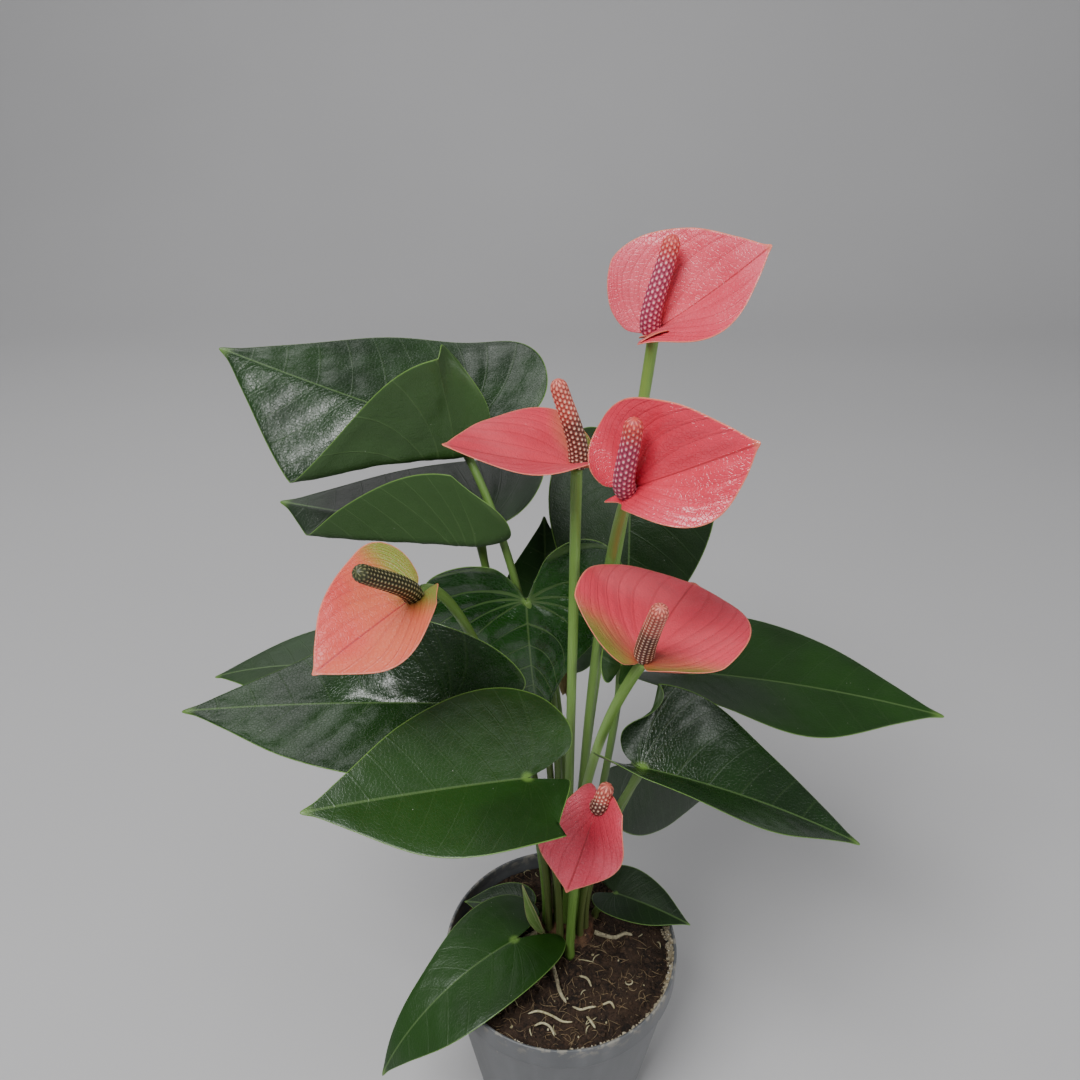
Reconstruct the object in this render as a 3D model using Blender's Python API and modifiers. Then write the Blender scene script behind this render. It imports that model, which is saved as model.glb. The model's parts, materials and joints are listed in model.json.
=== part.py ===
"""A potted flamingo plant: glossy heart-shaped leaves and pink spathes on long stalks in a nursery pot.

The frame has its origin at the centre of the pot's flat underside, +Z up and -Y towards the
front of the plant. Lengths are millimetres and turned into metres by MM. Angles are degrees.
"""

import math

import bmesh
import bpy
import numpy as np

MM = 0.001

# Pot: a round tapered nursery pot with a stepped band under its lip.
POT_HEIGHT = 110.0
POT_LIP_RADIUS = 60.0
POT_BAND_DEPTH = 14.0
POT_BAND_STEP = 1.6
POT_FOOT_RADIUS = 44.0
POT_WALL = 1.5
POT_FLOOR = 1.8
POT_SEGMENTS = 36
DRAIN_HOLES = 8
DRAIN_HOLE_RADIUS = 4.0
DRAIN_CIRCLE_RADIUS = 31.0

# Soil, and the crown that the stems stand on. GAP keeps two pieces that touch apart.
GAP = 0.35
SOIL_TOP = 103.0
SOIL_EDGE_DROP = 2.5
SOIL_LEVEL_RADIUS = 35.0
CROWN_PLACE = (3.0, 14.0)
CROWN_TOP = 109.0
CROWN_TOP_RADIUS = 13.5
CROWN_FOOT_RADIUS = 15.0

# Rings on the crown that the stems stand on, and the ring on the soil round it.
CENTRE, INNER_RING, OUTER_RING, SOIL_RING = 0.0, 5.1, 10.3, 17.5

# Plant tissue.
LEAF_THICKNESS = 0.9
SPATHE_THICKNESS = 0.9
PETIOLE_RADIUS = 1.8
STALK_RADIUS = 2.2
SPADIX_FOOT_RADIUS = 2.6
SPADIX_RADIUS = 4.0
SPADIX_TIP_RADIUS = 2.8
ROOT_RADIUS = 1.1
BLADE_SAMPLES = 10  # margin points on each half
LEAF_RINGS = 3
SPATHE_RINGS = 4
STEM_SPANS = 8
STEM_BEVEL = 1  # bevel_resolution, which gives six sides

# Half of a blade's margin from its tip round the basal lobe to the notch, as shares of the
# blade's length (along) and of its half width (across).
LEAF_MARGIN = [
    (1.00, 0.00),
    (0.93, 0.09),
    (0.80, 0.30),
    (0.55, 0.70),
    (0.28, 0.95),
    (0.05, 1.00),
    (-0.14, 0.86),
    (-0.25, 0.56),
    (-0.24, 0.27),
    (-0.11, 0.09),
]
SHEATH_MARGIN = [
    (1.00, 0.00),
    (0.75, 0.45),
    (0.40, 1.00),
    (0.12, 0.80),
    (-0.02, 0.35),
]
SPATHE_MARGIN = [
    (1.00, 0.00), (0.95, 0.09), (0.83, 0.34), (0.61, 0.72), (0.32, 0.96),
    (0.06, 0.98), (-0.13, 0.80), (-0.22, 0.50), (-0.18, 0.20), (-0.08, 0.06),
]

# Places along a blade, as shares of its length, where its folds and curls are given.
FIRST_STATION = -0.25
STATION_STEP = 0.4
# Steps from the midrib to a point over which a half blade's slope is summed.
CURL_STEPS = 24
# Clearance between a spathe's junction and its spadix (mm).
SPADIX_GAP = 0.55
# How far the ripples of a blade's right half run ahead of the left half's (radians).
RIPPLE_SHIFT = 2.1


def unit(vector):
    """The vector at length one."""
    vector = np.asarray(vector, float)
    return vector / np.linalg.norm(vector)


def margin_line(outline, half_width, samples):
    """Margin points of a whole blade of length one, from the left notch round the tip to the right notch.

    Catmull-Rom through the outline's points, sampled evenly in each span.
    """
    points = np.array(outline) * (1.0, half_width)
    spans = len(points) - 1
    padded = np.vstack([2 * points[0] - points[1], points, 2 * points[-1] - points[-2]])
    padded[0] = points[1] * (1, -1)
    place = np.linspace(0, spans, samples)
    index = np.minimum(place.astype(int), spans - 1)
    t = (place - index)[:, None]
    a, b, c, d = (padded[index + k] for k in range(4))
    half = 0.5 * (2 * b + (c - a) * t + (2 * a - 5 * b + 4 * c - d) * t**2 + (3 * b - a - 3 * c + d) * t**3)
    half[0] = points[0]
    return np.vstack([half[::-1], half[1:] * (1, -1)])


def smooth(value, low, high):
    """0 below low, 1 above high, and a smooth step between."""
    t = np.clip((value - low) / (high - low), 0, 1)
    return t * t * (3 - 2 * t)


def arc(run, bend):
    """Distance along and across a start line after going run along an arc that turns bend radians for each unit."""
    half = bend * run / 2
    reach = run * np.sinc(half / np.pi)
    return reach * np.cos(half), reach * np.sin(half)


def station_value(x, values):
    """A value at places x along a blade: Catmull-Rom through the four values at its stations."""
    first, *_, last = values
    padded = np.array([2 * first - values[1], *values, 2 * last - values[-2]], float)
    place = np.clip((x - FIRST_STATION) / STATION_STEP, 0, len(values) - 1)
    index = np.minimum(place.astype(int), len(values) - 2)
    t = place - index
    a, b, c, d = (padded[index + k] for k in range(4))
    return 0.5 * (2 * b + (c - a) * t + (2 * a - 5 * b + 4 * c - d) * t**2 + (3 * b - a - 3 * c + d) * t**3)


def station_value(x, values):
    """A value at places x along a blade: Catmull-Rom through the four values at its stations."""
    first, *_, last = values
    padded = np.array([2 * first - values[1], *values, 2 * last - values[-2]], float)
    place = np.clip((x - FIRST_STATION) / STATION_STEP, 0, len(values) - 1)
    index = np.minimum(place.astype(int), len(values) - 2)
    t = place - index
    a, b, c, d = (padded[index + k] for k in range(4))
    return 0.5 * (2 * b + (c - a) * t + (2 * a - 5 * b + 4 * c - d) * t**2 + (3 * b - a - 3 * c + d) * t**3)


def bent_blade(flat, blade):
    """Local points (chord forward, left, up) of flat blade points, before the blade is turned and scaled.

    Each half folds up from the midrib by its angle at that station; the left one turns on by its
    curl around a given reach, its slope summed in short steps. Ripples lift the margin, the
    midrib droops along an arc and the basal lobes lift.
    """
    x, y = flat[..., 0], flat[..., 1]
    left = y > 0

    def of_side(key):
        return np.where(left, station_value(x, blade[key + "_left"]), station_value(x, blade[key + "_right"]))

    reach = np.abs(y) * of_side("share")
    fold = np.radians(of_side("fold"))
    curl = np.radians(np.where(left, station_value(x, blade["curl_left"]), 0))
    steps = reach[..., None] * (np.arange(CURL_STEPS) + 0.5) / CURL_STEPS
    start = station_value(x, blade["turn_at"])[..., None] - blade["turn_width"] / 2
    angle = fold[..., None] + curl[..., None] * smooth(steps, start, start + blade["turn_width"])
    across = reach * np.cos(angle).mean(-1) * np.where(left, 1, -1)
    lift = reach * np.sin(angle).mean(-1)
    wave = blade["ripples"] * 2 * math.pi * x + np.where(left, 0, RIPPLE_SHIFT)
    lift = lift + blade["ripple"] * (reach / blade["half_width"]) ** 3 * np.sin(wave)
    droop = -np.radians(blade["droop"])
    lobes = np.radians(np.where(left, blade["lobe_left"], blade["lobe_right"])) * 4
    turn = np.where(x > 0, droop, lobes) * x
    forward, up = arc(x, np.where(x > 0, droop, lobes))
    forward = forward - lift * np.sin(turn)
    up = up + lift * np.cos(turn)
    return np.stack([forward, across, up], -1)


def placed_blade(flat, blade):
    """World points in millimetres of flat blade points: the chord from junction to tip sets size and direction."""
    base, tip = np.array(blade["base"], float), np.array(blade["tip"], float)
    end = bent_blade(np.array([1.0, 0.0]), blade)
    span = math.hypot(end[0], end[2])
    size = np.linalg.norm(tip - base) / span
    forward = unit(tip - base)
    face = np.array(blade["face"], float)
    up = unit(face - face @ forward * forward)
    left = np.cross(up, forward)
    local = bent_blade(flat, blade)
    c, s = end[0] / span, end[2] / span
    along = local[..., 0] * c + local[..., 2] * s
    height = -local[..., 0] * s + local[..., 2] * c
    return base + size * (
        along[..., None] * forward + local[..., 1, None] * left + height[..., None] * up
    )


def junction_normal(blade):
    """The direction that the blade's upper face looks at its junction with the stalk."""
    e = 1e-3
    points = placed_blade(np.array([[0, 0], [e, 0], [0, e], [0, -e]], float), blade)
    return unit(np.cross(points[1] - points[0], points[2] - points[3]))


BLADE_DEFAULTS = {
    "half_width": 0.37,
    "share_left": (1, 1, 1, 1),
    "share_right": (1, 1, 1, 1),
    "fold_left": (18, 17, 11, 10),
    "fold_right": (18, 17, 11, 10),
    "curl_left": (0, 0, 0, 0),
    "turn_at": (0.1, 0.1, 0.1, 0.1),
    "turn_width": 0.12,
    "droop": 30,
    "lobe_left": 0,
    "lobe_right": 0,
    "ripple": 0.0,
    "ripples": 3.0,
}


def blade(base, tip, face, **shape):
    """The description of one blade: places in millimetres, angles in degrees, the rest as shares of its length."""
    return {**BLADE_DEFAULTS, **shape, "base": base, "tip": tip, "face": face}


# Each leaf: its blade, the ring and the angle where its petiole stands, and the petiole's last
# stretch up to the blade (mm).
LEAVES = {
    "leaf_top_left": (
        blade((-47, 56, 376), (-159, 106, 395), (-0.1, -0.1, 1), half_width=0.5,
              fold_left=(-40, -38, -36, -36), fold_right=(18, 8, 3, 5),
              curl_left=(130, 130, 130, 130), droop=-4, lobe_left=40, lobe_right=20,
              share_left=(1.25, 1.06, 0.97, 1), turn_at=(0.02, 0.19, 0.41, 0.5), ripple=0.02,
              ripples=1.6),
        OUTER_RING, 122, (-32, 43, 38)),
    "leaf_second_left": (
        blade((-38, 40, 337), (-136, 86, 325), (-0.1, -0.1, 1), half_width=0.45,
              fold_left=(-30, -30, -30, -30), fold_right=(10, 5, 5, 8),
              curl_left=(125, 125, 120, 110), droop=-5, lobe_left=40, lobe_right=40,
              turn_at=(0.08, 0.1, 0.13, 0.16)),
        OUTER_RING, 156, (-8, 6, 60)),
    "leaf_back": (
        blade((32, 87, 337), (31, 56, 255), (0, -1, 0.3), half_width=0.46, droop=20,
              lobe_left=-20, lobe_right=-20),
        OUTER_RING, 70, (0, -38, 12)),
    "leaf_mid_left": (
        blade((-50, -5, 277), (-168, 0, 268), (0, -0.1, 1), half_width=0.37,
              fold_left=(5, 5, 5, 5), fold_right=(74, 51, 2, 2), droop=8, lobe_right=-10,
              share_right=(0.72, 0.87, 1, 1)),
        OUTER_RING, 206, (-30, -8, 40)),
    "leaf_under_left": (
        blade((-98, 45, 256), (-171, 50, 246), (0, 0, 1), half_width=0.45,
              fold_right=(2, 1, -2, -3), droop=25, lobe_right=-10),
        OUTER_RING, 96, (-60, 0, 25)),
    "leaf_centre": (
        blade((-17, 23, 311), (-10, 19, 237), (-0.25, -1, 0.1), half_width=0.66,
              fold_left=(-38, -32, -22, -10), fold_right=(5, 0, -7, -5), droop=20, lobe_left=30,
              lobe_right=30, share_left=(1, 0.95, 0.4, 0.3)),
        INNER_RING, 175, (-18, -6, 50)),
    "leaf_young": (
        blade((-7, 67, 256), (-9, 77, 322), (-0.1, -1, 0.1), half_width=0.4, droop=10),
        INNER_RING, 85, (-9, 10, 50)),
    "leaf_front": (
        blade((-16, -50, 278), (-97, -80, 291), (0, -0.5, 1), half_width=0.42,
              fold_left=(34, 32, 14, 8), fold_right=(12, 12, 10, 10), droop=12, lobe_left=80,
              lobe_right=10),
        OUTER_RING, 250, (-2, -25, 45)),
    "leaf_right_high": (
        blade((62, 44, 254), (177, 19, 248), (0, -0.1, 1), half_width=0.37,
              fold_left=(0, 0, 0, 0), fold_right=(40, 27, 2, 2), droop=15),
        OUTER_RING, 12, (12, 5, 48)),
    "leaf_right_low": (
        blade((32, -25, 259), (125, -40, 229), (0, -0.1, 1), half_width=0.38,
              fold_left=(45, 30, 5, 5), fold_right=(50, 42, 30, 30), droop=20, lobe_left=90,
              lobe_right=20),
        OUTER_RING, 312, (10, -8, 40)),
    "leaf_shaded": (
        blade((40, 58, 180), (84, 80, 131), (0.3, -1, 0.6), half_width=0.5, droop=20),
        OUTER_RING, 42, (12, 18, 40)),
    "leaf_over_rim": (
        blade((-24, -8, 122), (-89, -52, 77), (-0.3, -0.3, 1), half_width=0.33,
              fold_left=(5, 5, 5, 5), fold_right=(0, 0, 0, 0), droop=75, lobe_left=-20,
              lobe_right=-20, share_left=(0.7, 0.85, 1, 1), share_right=(1, 0.8, 0.6, 0.8)),
        SOIL_RING, 218, (-6, -4, 8)),
    "leaf_rim_right": (
        blade((30, 24, 118), (68, 7, 114), (0, -0.2, 1), half_width=0.38, droop=20),
        SOIL_RING, 25, (7, 2, 6)),
    "leaf_on_soil": (
        blade((-22, 19, 112), (-52, 25, 110), (0, -0.2, 1), half_width=0.42, droop=15),
        SOIL_RING, 165, (-3, 0, 5)),
    "leaf_behind": (
        blade((24, 2, 293), (40, 45, 304), (-0.2, -0.4, 1), half_width=0.25,
              fold_left=(50, 44, 16, 10), fold_right=(50, 44, 16, 10), droop=10),
        OUTER_RING, 342, (2, 0, 60)),
}

# Each flower: its spathe, its spadix's tip, the ring and the angle where its stalk stands, and
# the stalk's last stretch up to the spathe (mm).
FLOWERS = {
    "flower_top": (
        blade((30, 15, 436), (67, 5, 470), (-0.2, -0.6, 0.8), half_width=0.62,
              fold_left=(33, 30, 22, 15), fold_right=(60, 51, 20, 10), droop=-15, lobe_left=20,
              lobe_right=90, share_right=(1, 1, 0.85, 0.8)),
        (35, 15, 471), INNER_RING, 40, (6, -8, 90)),
    "flower_upper_left": (
        blade((3, 0, 389), (-45, -20, 408), (-0.1, -0.1, 1), half_width=0.52,
              fold_left=(35, 31, 14, 10), fold_right=(25, 23, 12, 10), droop=-10, lobe_left=40,
              lobe_right=60),
        (-5, 0, 424), CENTRE, 0, (0, 2, 80)),
    "flower_upper_right": (
        blade((20, -32, 397), (58, -51, 424), (0.1, -0.9, 0.5), half_width=0.6,
              fold_left=(0, 0, 10, 10), fold_right=(60, 60, 28, 10), droop=20, lobe_left=90,
              lobe_right=90, share_left=(0.8, 0.95, 1, 1), share_right=(0.1, 0.5, 0.85, 1)),
        (19, -42, 428), INNER_RING, 335, (3, -58, 50)),
    "flower_right": (
        blade((27, -45, 333), (53, 9, 330), (-0.1, -0.2, 1), half_width=0.62,
              fold_left=(42, 39, 28, 25), fold_right=(14, 12, 8, 5), droop=20, lobe_left=20,
              lobe_right=60, share_right=(0.8, 0.9, 1, 1)),
        (29, -64, 370), OUTER_RING, 282, (16, -24, 56)),
    "flower_left": (
        blade((-57, -36, 354), (-89, -66, 343), (-0.5, -0.8, 0.4), half_width=0.55,
              fold_left=(50, 42, 22, 15), fold_right=(0, 2, 8, 10), droop=10, lobe_left=20,
              lobe_right=10, share_left=(0.35, 0.9, 1.1, 1), share_right=(1.5, 1.1, 1, 1)),
        (-70, -65, 385), OUTER_RING, 179, (-5, -80, 24)),
    "flower_low": (
        blade((13, -35, 247), (0, -55, 217), (0.1, -0.9, 0.4), half_width=0.55,
              fold_left=(75, 68, 32, 10), fold_right=(10, 10, 10, 10), droop=20, lobe_left=20,
              lobe_right=-60, share_right=(0.4, 0.8, 1.2, 1)),
        (17, -38, 262), SOIL_RING, 275, (4, -22, 45)),
}

# Papery sheaths that new leaves and flowers came out of.
SHEATHS = {
    "sheath_dry": blade((1, 31, 252), (3, 33, 290), (-0.3, -1, 0.3), half_width=0.13,
              fold_left=(55, 53, 42, 40), fold_right=(55, 53, 42, 40), droop=0),
    "sheath_green": blade((-9, 4, 112), (-20, 6, 147), (-0.5, -1, 0.3), half_width=0.12,
              fold_left=(45, 43, 32, 30), fold_right=(45, 43, 32, 30), droop=15),
}

# Aerial roots from the crown's side to the soil, each a list of places along its middle.
ROOTS = {
    "root_front": [(-4, -3, 108), (-5, -9, 107.5), (-3, -17, 106), (-1, -25, 104.6), (2, -31, 104.6)],
    "root_left": [(-13, 8, 107), (-18, 5, 107), (-23, 3, 105.5), (-29, 4, 104.6), (-34, 2, 104.6)],
    "root_right": [(18, 8, 107), (23, 6, 107), (29, 6, 105.5), (34, 9, 104.6), (38, 8, 104.6)],
}

COLORS = {
    "pot": ((0.20, 0.21, 0.23), 0.45),
    "soil": ((0.03, 0.02, 0.015), 0.95),
    "crown": ((0.17, 0.09, 0.04), 0.8),
    "leaf": ((0.03, 0.12, 0.03), 0.3),
    "petiole": ((0.12, 0.26, 0.05), 0.5),
    "stalk": ((0.16, 0.32, 0.06), 0.5),
    "spathe": ((0.78, 0.14, 0.16), 0.3),
    "spadix": ((0.55, 0.20, 0.22), 0.6),
    "sheath": ((0.45, 0.38, 0.20), 0.8),
    "root": ((0.55, 0.50, 0.32), 0.8),
}


def collection(name):
    """A new collection in the scene."""
    made = bpy.data.collections.new(name)
    bpy.context.scene.collection.children.link(made)
    return made


def material(kind):
    """The material of one kind of tissue or ware, made the first time it is asked for."""
    if kind in bpy.data.materials:
        return bpy.data.materials[kind]
    made = bpy.data.materials.new(kind)
    made.use_nodes = True
    color, roughness = COLORS[kind]
    shader = made.node_tree.nodes["Principled BSDF"]
    shader.inputs["Base Color"].default_value = (*color, 1)
    shader.inputs["Roughness"].default_value = roughness
    shader.inputs["Metallic"].default_value = 0
    made.diffuse_color = (*color, 1)
    return made


def add_object(name, data, kind, group):
    """Links an object of this mesh or curve into a collection, with its own copy of the material."""
    made = bpy.data.objects.new(name, data)
    dress = material(kind).copy()
    dress.name = name
    data.materials.append(dress)
    group.objects.link(made)
    return made


def add_turned(name, profile, kind, group, middle=(0, 0)):
    """A turned solid: the profile's (radius, height) points swept round a vertical axis."""
    form = bmesh.new()
    points = [form.verts.new((r * MM, 0, z * MM)) for r, z in profile]
    for a, b in zip(points, points[1:]):
        form.edges.new((a, b))
    mesh = bpy.data.meshes.new(name)
    form.to_mesh(mesh)
    form.free()
    made = add_object(name, mesh, kind, group)
    made.location = (middle[0] * MM, middle[1] * MM, 0)
    screw = made.modifiers.new("Turn", "SCREW")
    screw.steps = screw.render_steps = POT_SEGMENTS
    screw.use_merge_vertices = True
    screw.merge_threshold = 1e-5
    screw.use_smooth_shade = True
    return made


def wall_radius(height):
    """The outer radius of the pot's tapered wall, below the band."""
    top = POT_LIP_RADIUS - POT_BAND_STEP
    return POT_FOOT_RADIUS + (top - POT_FOOT_RADIUS) * height / (POT_HEIGHT - POT_BAND_DEPTH)


def inner_radius(height):
    """The inner radius of the pot, whose band stands out as far inside as outside."""
    band = POT_HEIGHT - POT_BAND_DEPTH
    if height <= band:
        return wall_radius(height) - POT_WALL
    return POT_LIP_RADIUS - POT_WALL


def add_pot(group, cutters):
    """The pot: one turned shell, with a ring of drain holes cut from its floor."""
    band = POT_HEIGHT - POT_BAND_DEPTH
    profile = [
        (0, POT_FLOOR),
        (inner_radius(POT_FLOOR), POT_FLOOR),
        (inner_radius(band), band),
        (inner_radius(POT_HEIGHT), band + POT_BAND_STEP),
        (inner_radius(POT_HEIGHT), POT_HEIGHT - 0.5),
        (inner_radius(POT_HEIGHT) + 0.5, POT_HEIGHT),
        (POT_LIP_RADIUS - 0.5, POT_HEIGHT),
        (POT_LIP_RADIUS, POT_HEIGHT - 0.5),
        (POT_LIP_RADIUS, band),
        (wall_radius(band), band - POT_BAND_STEP),
        (wall_radius(2), 2),
        (POT_FOOT_RADIUS - 1.5, 0),
        (0, 0),
    ]
    pot = add_turned("pot", profile, "pot", group)
    for turn in range(DRAIN_HOLES):
        angle = 2 * math.pi * turn / DRAIN_HOLES
        form = bmesh.new()
        radius = DRAIN_HOLE_RADIUS * MM
        bmesh.ops.create_cone(form, cap_ends=True, segments=12, radius1=radius, radius2=radius, depth=8 * MM)
        mesh = bpy.data.meshes.new("drain_cutter")
        form.to_mesh(mesh)
        form.free()
        cutter = bpy.data.objects.new(f"drain_cutter_{turn + 1}", mesh)
        reach = DRAIN_CIRCLE_RADIUS * MM
        cutter.location = (reach * math.cos(angle), reach * math.sin(angle), POT_FLOOR / 2 * MM)
        cutter.hide_render = True
        cutter.display_type = "WIRE"
        cutters.objects.link(cutter)
    holes = pot.modifiers.new("Drain holes", "BOOLEAN")
    holes.operation = "DIFFERENCE"
    holes.solver = "EXACT"
    holes.operand_type = "COLLECTION"
    holes.collection = cutters


def add_soil(group):
    """The soil: it fills the pot to a shoulder below the lip and stands a little higher in the middle."""
    edge = SOIL_TOP - SOIL_EDGE_DROP
    band = POT_HEIGHT - POT_BAND_DEPTH
    floor = POT_FLOOR + GAP
    profile = [
        (0, SOIL_TOP),
        (SOIL_LEVEL_RADIUS, SOIL_TOP),
        (inner_radius(band) - GAP, edge),
        (inner_radius(band) - GAP, band),
        (inner_radius(floor) - GAP, floor),
        (0, floor),
    ]
    add_turned("soil", profile, "soil", group)


def add_crown(group):
    """The short thick crown that every stem grows from."""
    foot = SOIL_TOP + GAP
    profile = [
        (0, CROWN_TOP),
        (CROWN_TOP_RADIUS - 1, CROWN_TOP),
        (CROWN_TOP_RADIUS, CROWN_TOP - 1),
        (CROWN_FOOT_RADIUS, foot + 0.5),
        (CROWN_FOOT_RADIUS - 0.5, foot),
        (0, foot),
    ]
    add_turned("crown", profile, "crown", group, middle=CROWN_PLACE)


def add_blade(name, shape, outline, rings, thickness, kind, group):
    """A blade: rays from the junction to the margin, crossed by rings, given its thickness by Solidify.

    It is open at the notch between its two basal lobes.
    """
    margin = margin_line(outline, shape["half_width"], BLADE_SAMPLES)
    steps = np.arange(1, rings + 1) / rings
    flat = np.vstack([np.zeros((1, 2)), (steps[:, None, None] * margin).reshape(-1, 2)])
    form = bmesh.new()
    points = [form.verts.new(tuple(place * MM)) for place in placed_blade(flat, shape)]
    rays = len(margin)
    for ray in range(rays - 1):
        form.faces.new((points[0], points[1 + ray], points[2 + ray]))
        for ring in range(rings - 1):
            a = 1 + ring * rays + ray
            form.faces.new((points[a], points[a + rays], points[a + rays + 1], points[a + 1]))
    mesh = bpy.data.meshes.new(name)
    form.to_mesh(mesh)
    form.free()
    mesh.shade_smooth()
    made = add_object(name, mesh, kind, group)
    wall = made.modifiers.new("Thickness", "SOLIDIFY")
    wall.thickness = thickness * MM
    wall.offset = 0


def stem_start(ring, angle):
    """Where a stem stands: on the crown's flat top, or on the soil round the crown."""
    turn = math.radians(angle)
    level = SOIL_TOP + 1.4 if ring == SOIL_RING else CROWN_TOP + GAP
    return np.array(
        [CROWN_PLACE[0] + ring * math.cos(turn), CROWN_PLACE[1] + ring * math.sin(turn), level]
    )


def stem_end(shape, last, thickness, radius):
    """The middle of a stem's upper end, as close under the blade's junction as its tilt leaves room for."""
    normal = junction_normal(shape)
    sag = math.radians(max(0, -(shape["fold_left"][0] + shape["fold_right"][0]) / 2))
    tilt = math.sqrt(max(0, 1 - (unit(last) @ normal) ** 2))
    below = GAP + thickness / 2 / math.cos(sag) + radius * (math.tan(sag) + tilt)
    return np.array(shape["base"], float) - normal * below


def bezier(start, start_reach, end_reach, end, spans):
    """Points along a cubic Bezier curve between two ends, each with its reach towards the middle."""
    t = np.linspace(0, 1, spans + 1)[:, None]
    return (
        (1 - t) ** 3 * start
        + 3 * (1 - t) ** 2 * t * (start + start_reach)
        + 3 * (1 - t) * t**2 * (end - end_reach)
        + t**3 * end
    )


def stem_line(ring, angle, last, shape, thickness, radius):
    """The middle line of one stem: straight up from its foot, then along its last stretch to the blade."""
    start = stem_start(ring, angle)
    end = stem_end(shape, last, thickness, radius)
    rise = np.array([0, 0, 0.45 * (end[2] - start[2])])
    return bezier(start, rise, np.array(last, float), end, STEM_SPANS)


def add_tube(name, line, radii, kind, group):
    """A round stem along a line, as a curve with filled ends whose radius changes point by point."""
    curve = bpy.data.curves.new(name, "CURVE")
    curve.dimensions = "3D"
    curve.bevel_depth = MM
    curve.bevel_resolution = STEM_BEVEL
    curve.use_fill_caps = True
    spline = curve.splines.new("POLY")
    spline.points.add(len(line) - 1)
    for point, place, radius in zip(spline.points, line, radii):
        point.co = (*(np.array(place) * MM), 1)
        point.radius = radius
    return add_object(name, curve, kind, group)


def spadix_line(shape, tip):
    """The middle line of a spadix, from just above the spathe's junction to its tip."""
    normal = junction_normal(shape)
    fold = math.radians(max(0, (shape["fold_left"][0] + shape["fold_right"][0]) / 2))
    above = SPADIX_GAP + SPATHE_THICKNESS / 2 / math.cos(fold) + SPADIX_FOOT_RADIUS * math.tan(fold)
    start = np.array(shape["base"], float) + normal * above
    return bezier(start, normal * 8, unit(np.array(tip) - start) * 12, np.array(tip, float), 6)


def add_leaves(group):
    """Every leaf: a blade and its petiole."""
    for name, (shape, ring, angle, last) in LEAVES.items():
        add_blade(f"{name}_blade", shape, LEAF_MARGIN, LEAF_RINGS, LEAF_THICKNESS, "leaf", group)
        line = stem_line(ring, angle, last, shape, LEAF_THICKNESS, PETIOLE_RADIUS)
        add_tube(f"{name}_petiole", line, [PETIOLE_RADIUS] * len(line), "petiole", group)


def add_flowers(group):
    """Every flower: a spathe, the spadix that stands on it and the stalk below."""
    for name, (shape, tip, ring, angle, last) in FLOWERS.items():
        add_blade(f"{name}_spathe", shape, SPATHE_MARGIN, SPATHE_RINGS, SPATHE_THICKNESS, "spathe", group)
        line = spadix_line(shape, tip)
        radii = [SPADIX_FOOT_RADIUS, SPADIX_RADIUS, SPADIX_RADIUS, 3.7, 3.4, SPADIX_TIP_RADIUS, 1.6]
        add_tube(f"{name}_spadix", line, radii, "spadix", group)
        line = stem_line(ring, angle, last, shape, SPATHE_THICKNESS, STALK_RADIUS)
        add_tube(f"{name}_stalk", line, [STALK_RADIUS] * len(line), "stalk", group)


def add_sheaths_and_roots(group):
    """The dry sheaths among the stems and the aerial roots on the soil."""
    for name, shape in SHEATHS.items():
        add_blade(name, shape, SHEATH_MARGIN, 2, SPATHE_THICKNESS, "sheath", group)
    for name, line in ROOTS.items():
        radii = np.linspace(1, 0.8, len(line)) * ROOT_RADIUS
        add_tube(name, line, radii, "root", group)


def clear_scene():
    """Removes whatever the scene holds."""
    for obj in list(bpy.data.objects):
        bpy.data.objects.remove(obj, do_unlink=True)


def main():
    clear_scene()
    plant = collection("potted_flamingo_plant")
    cutters = collection("cutters")
    cutters.hide_render = True
    add_pot(plant, cutters)
    add_soil(plant)
    add_crown(plant)
    add_leaves(plant)
    add_flowers(plant)
    add_sheaths_and_roots(plant)


if __name__ == "__main__":
    main()
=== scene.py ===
"""Potted flamingo plant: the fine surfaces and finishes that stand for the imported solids.

Lengths in the tables are millimetres and turned into metres when a mesh is made. Angles are
degrees. The frame has its origin at the centre of the pot's flat underside, +Z up and -Y towards
the front of the plant.
"""

from __future__ import annotations

import json
import logging
import math
from collections.abc import Callable
from dataclasses import dataclass, field
from enum import Enum

import bpy
import numpy as np
from mathutils import Matrix

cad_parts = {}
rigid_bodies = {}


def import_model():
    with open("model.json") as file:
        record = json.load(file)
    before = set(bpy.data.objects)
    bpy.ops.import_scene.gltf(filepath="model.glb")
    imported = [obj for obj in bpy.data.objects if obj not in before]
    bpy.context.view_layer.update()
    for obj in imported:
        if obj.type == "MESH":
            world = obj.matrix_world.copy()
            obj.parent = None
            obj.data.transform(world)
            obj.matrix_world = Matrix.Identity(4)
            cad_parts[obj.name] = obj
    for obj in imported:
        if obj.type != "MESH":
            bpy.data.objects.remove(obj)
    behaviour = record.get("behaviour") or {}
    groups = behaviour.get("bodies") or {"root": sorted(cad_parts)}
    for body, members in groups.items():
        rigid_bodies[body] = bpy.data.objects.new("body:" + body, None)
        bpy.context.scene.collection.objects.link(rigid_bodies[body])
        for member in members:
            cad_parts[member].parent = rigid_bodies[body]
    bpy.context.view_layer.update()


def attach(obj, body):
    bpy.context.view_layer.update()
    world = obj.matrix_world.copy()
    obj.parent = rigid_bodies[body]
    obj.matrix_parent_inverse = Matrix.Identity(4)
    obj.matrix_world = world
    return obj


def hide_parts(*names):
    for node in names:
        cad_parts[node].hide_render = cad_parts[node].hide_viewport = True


LOG = logging.getLogger("flamingo_plant")
MM = 0.001
BODY = "root"
Vec3 = tuple[float, float, float]
Four = tuple[float, float, float, float]
Color = tuple[float, float, float]

# Places along a blade, as shares of its length, where its folds and curls are given.
FIRST_STATION = -0.25
STATION_STEP = 0.4
# Steps from the midrib to a point over which a half blade's slope is summed.
CURL_STEPS = 24

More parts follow.
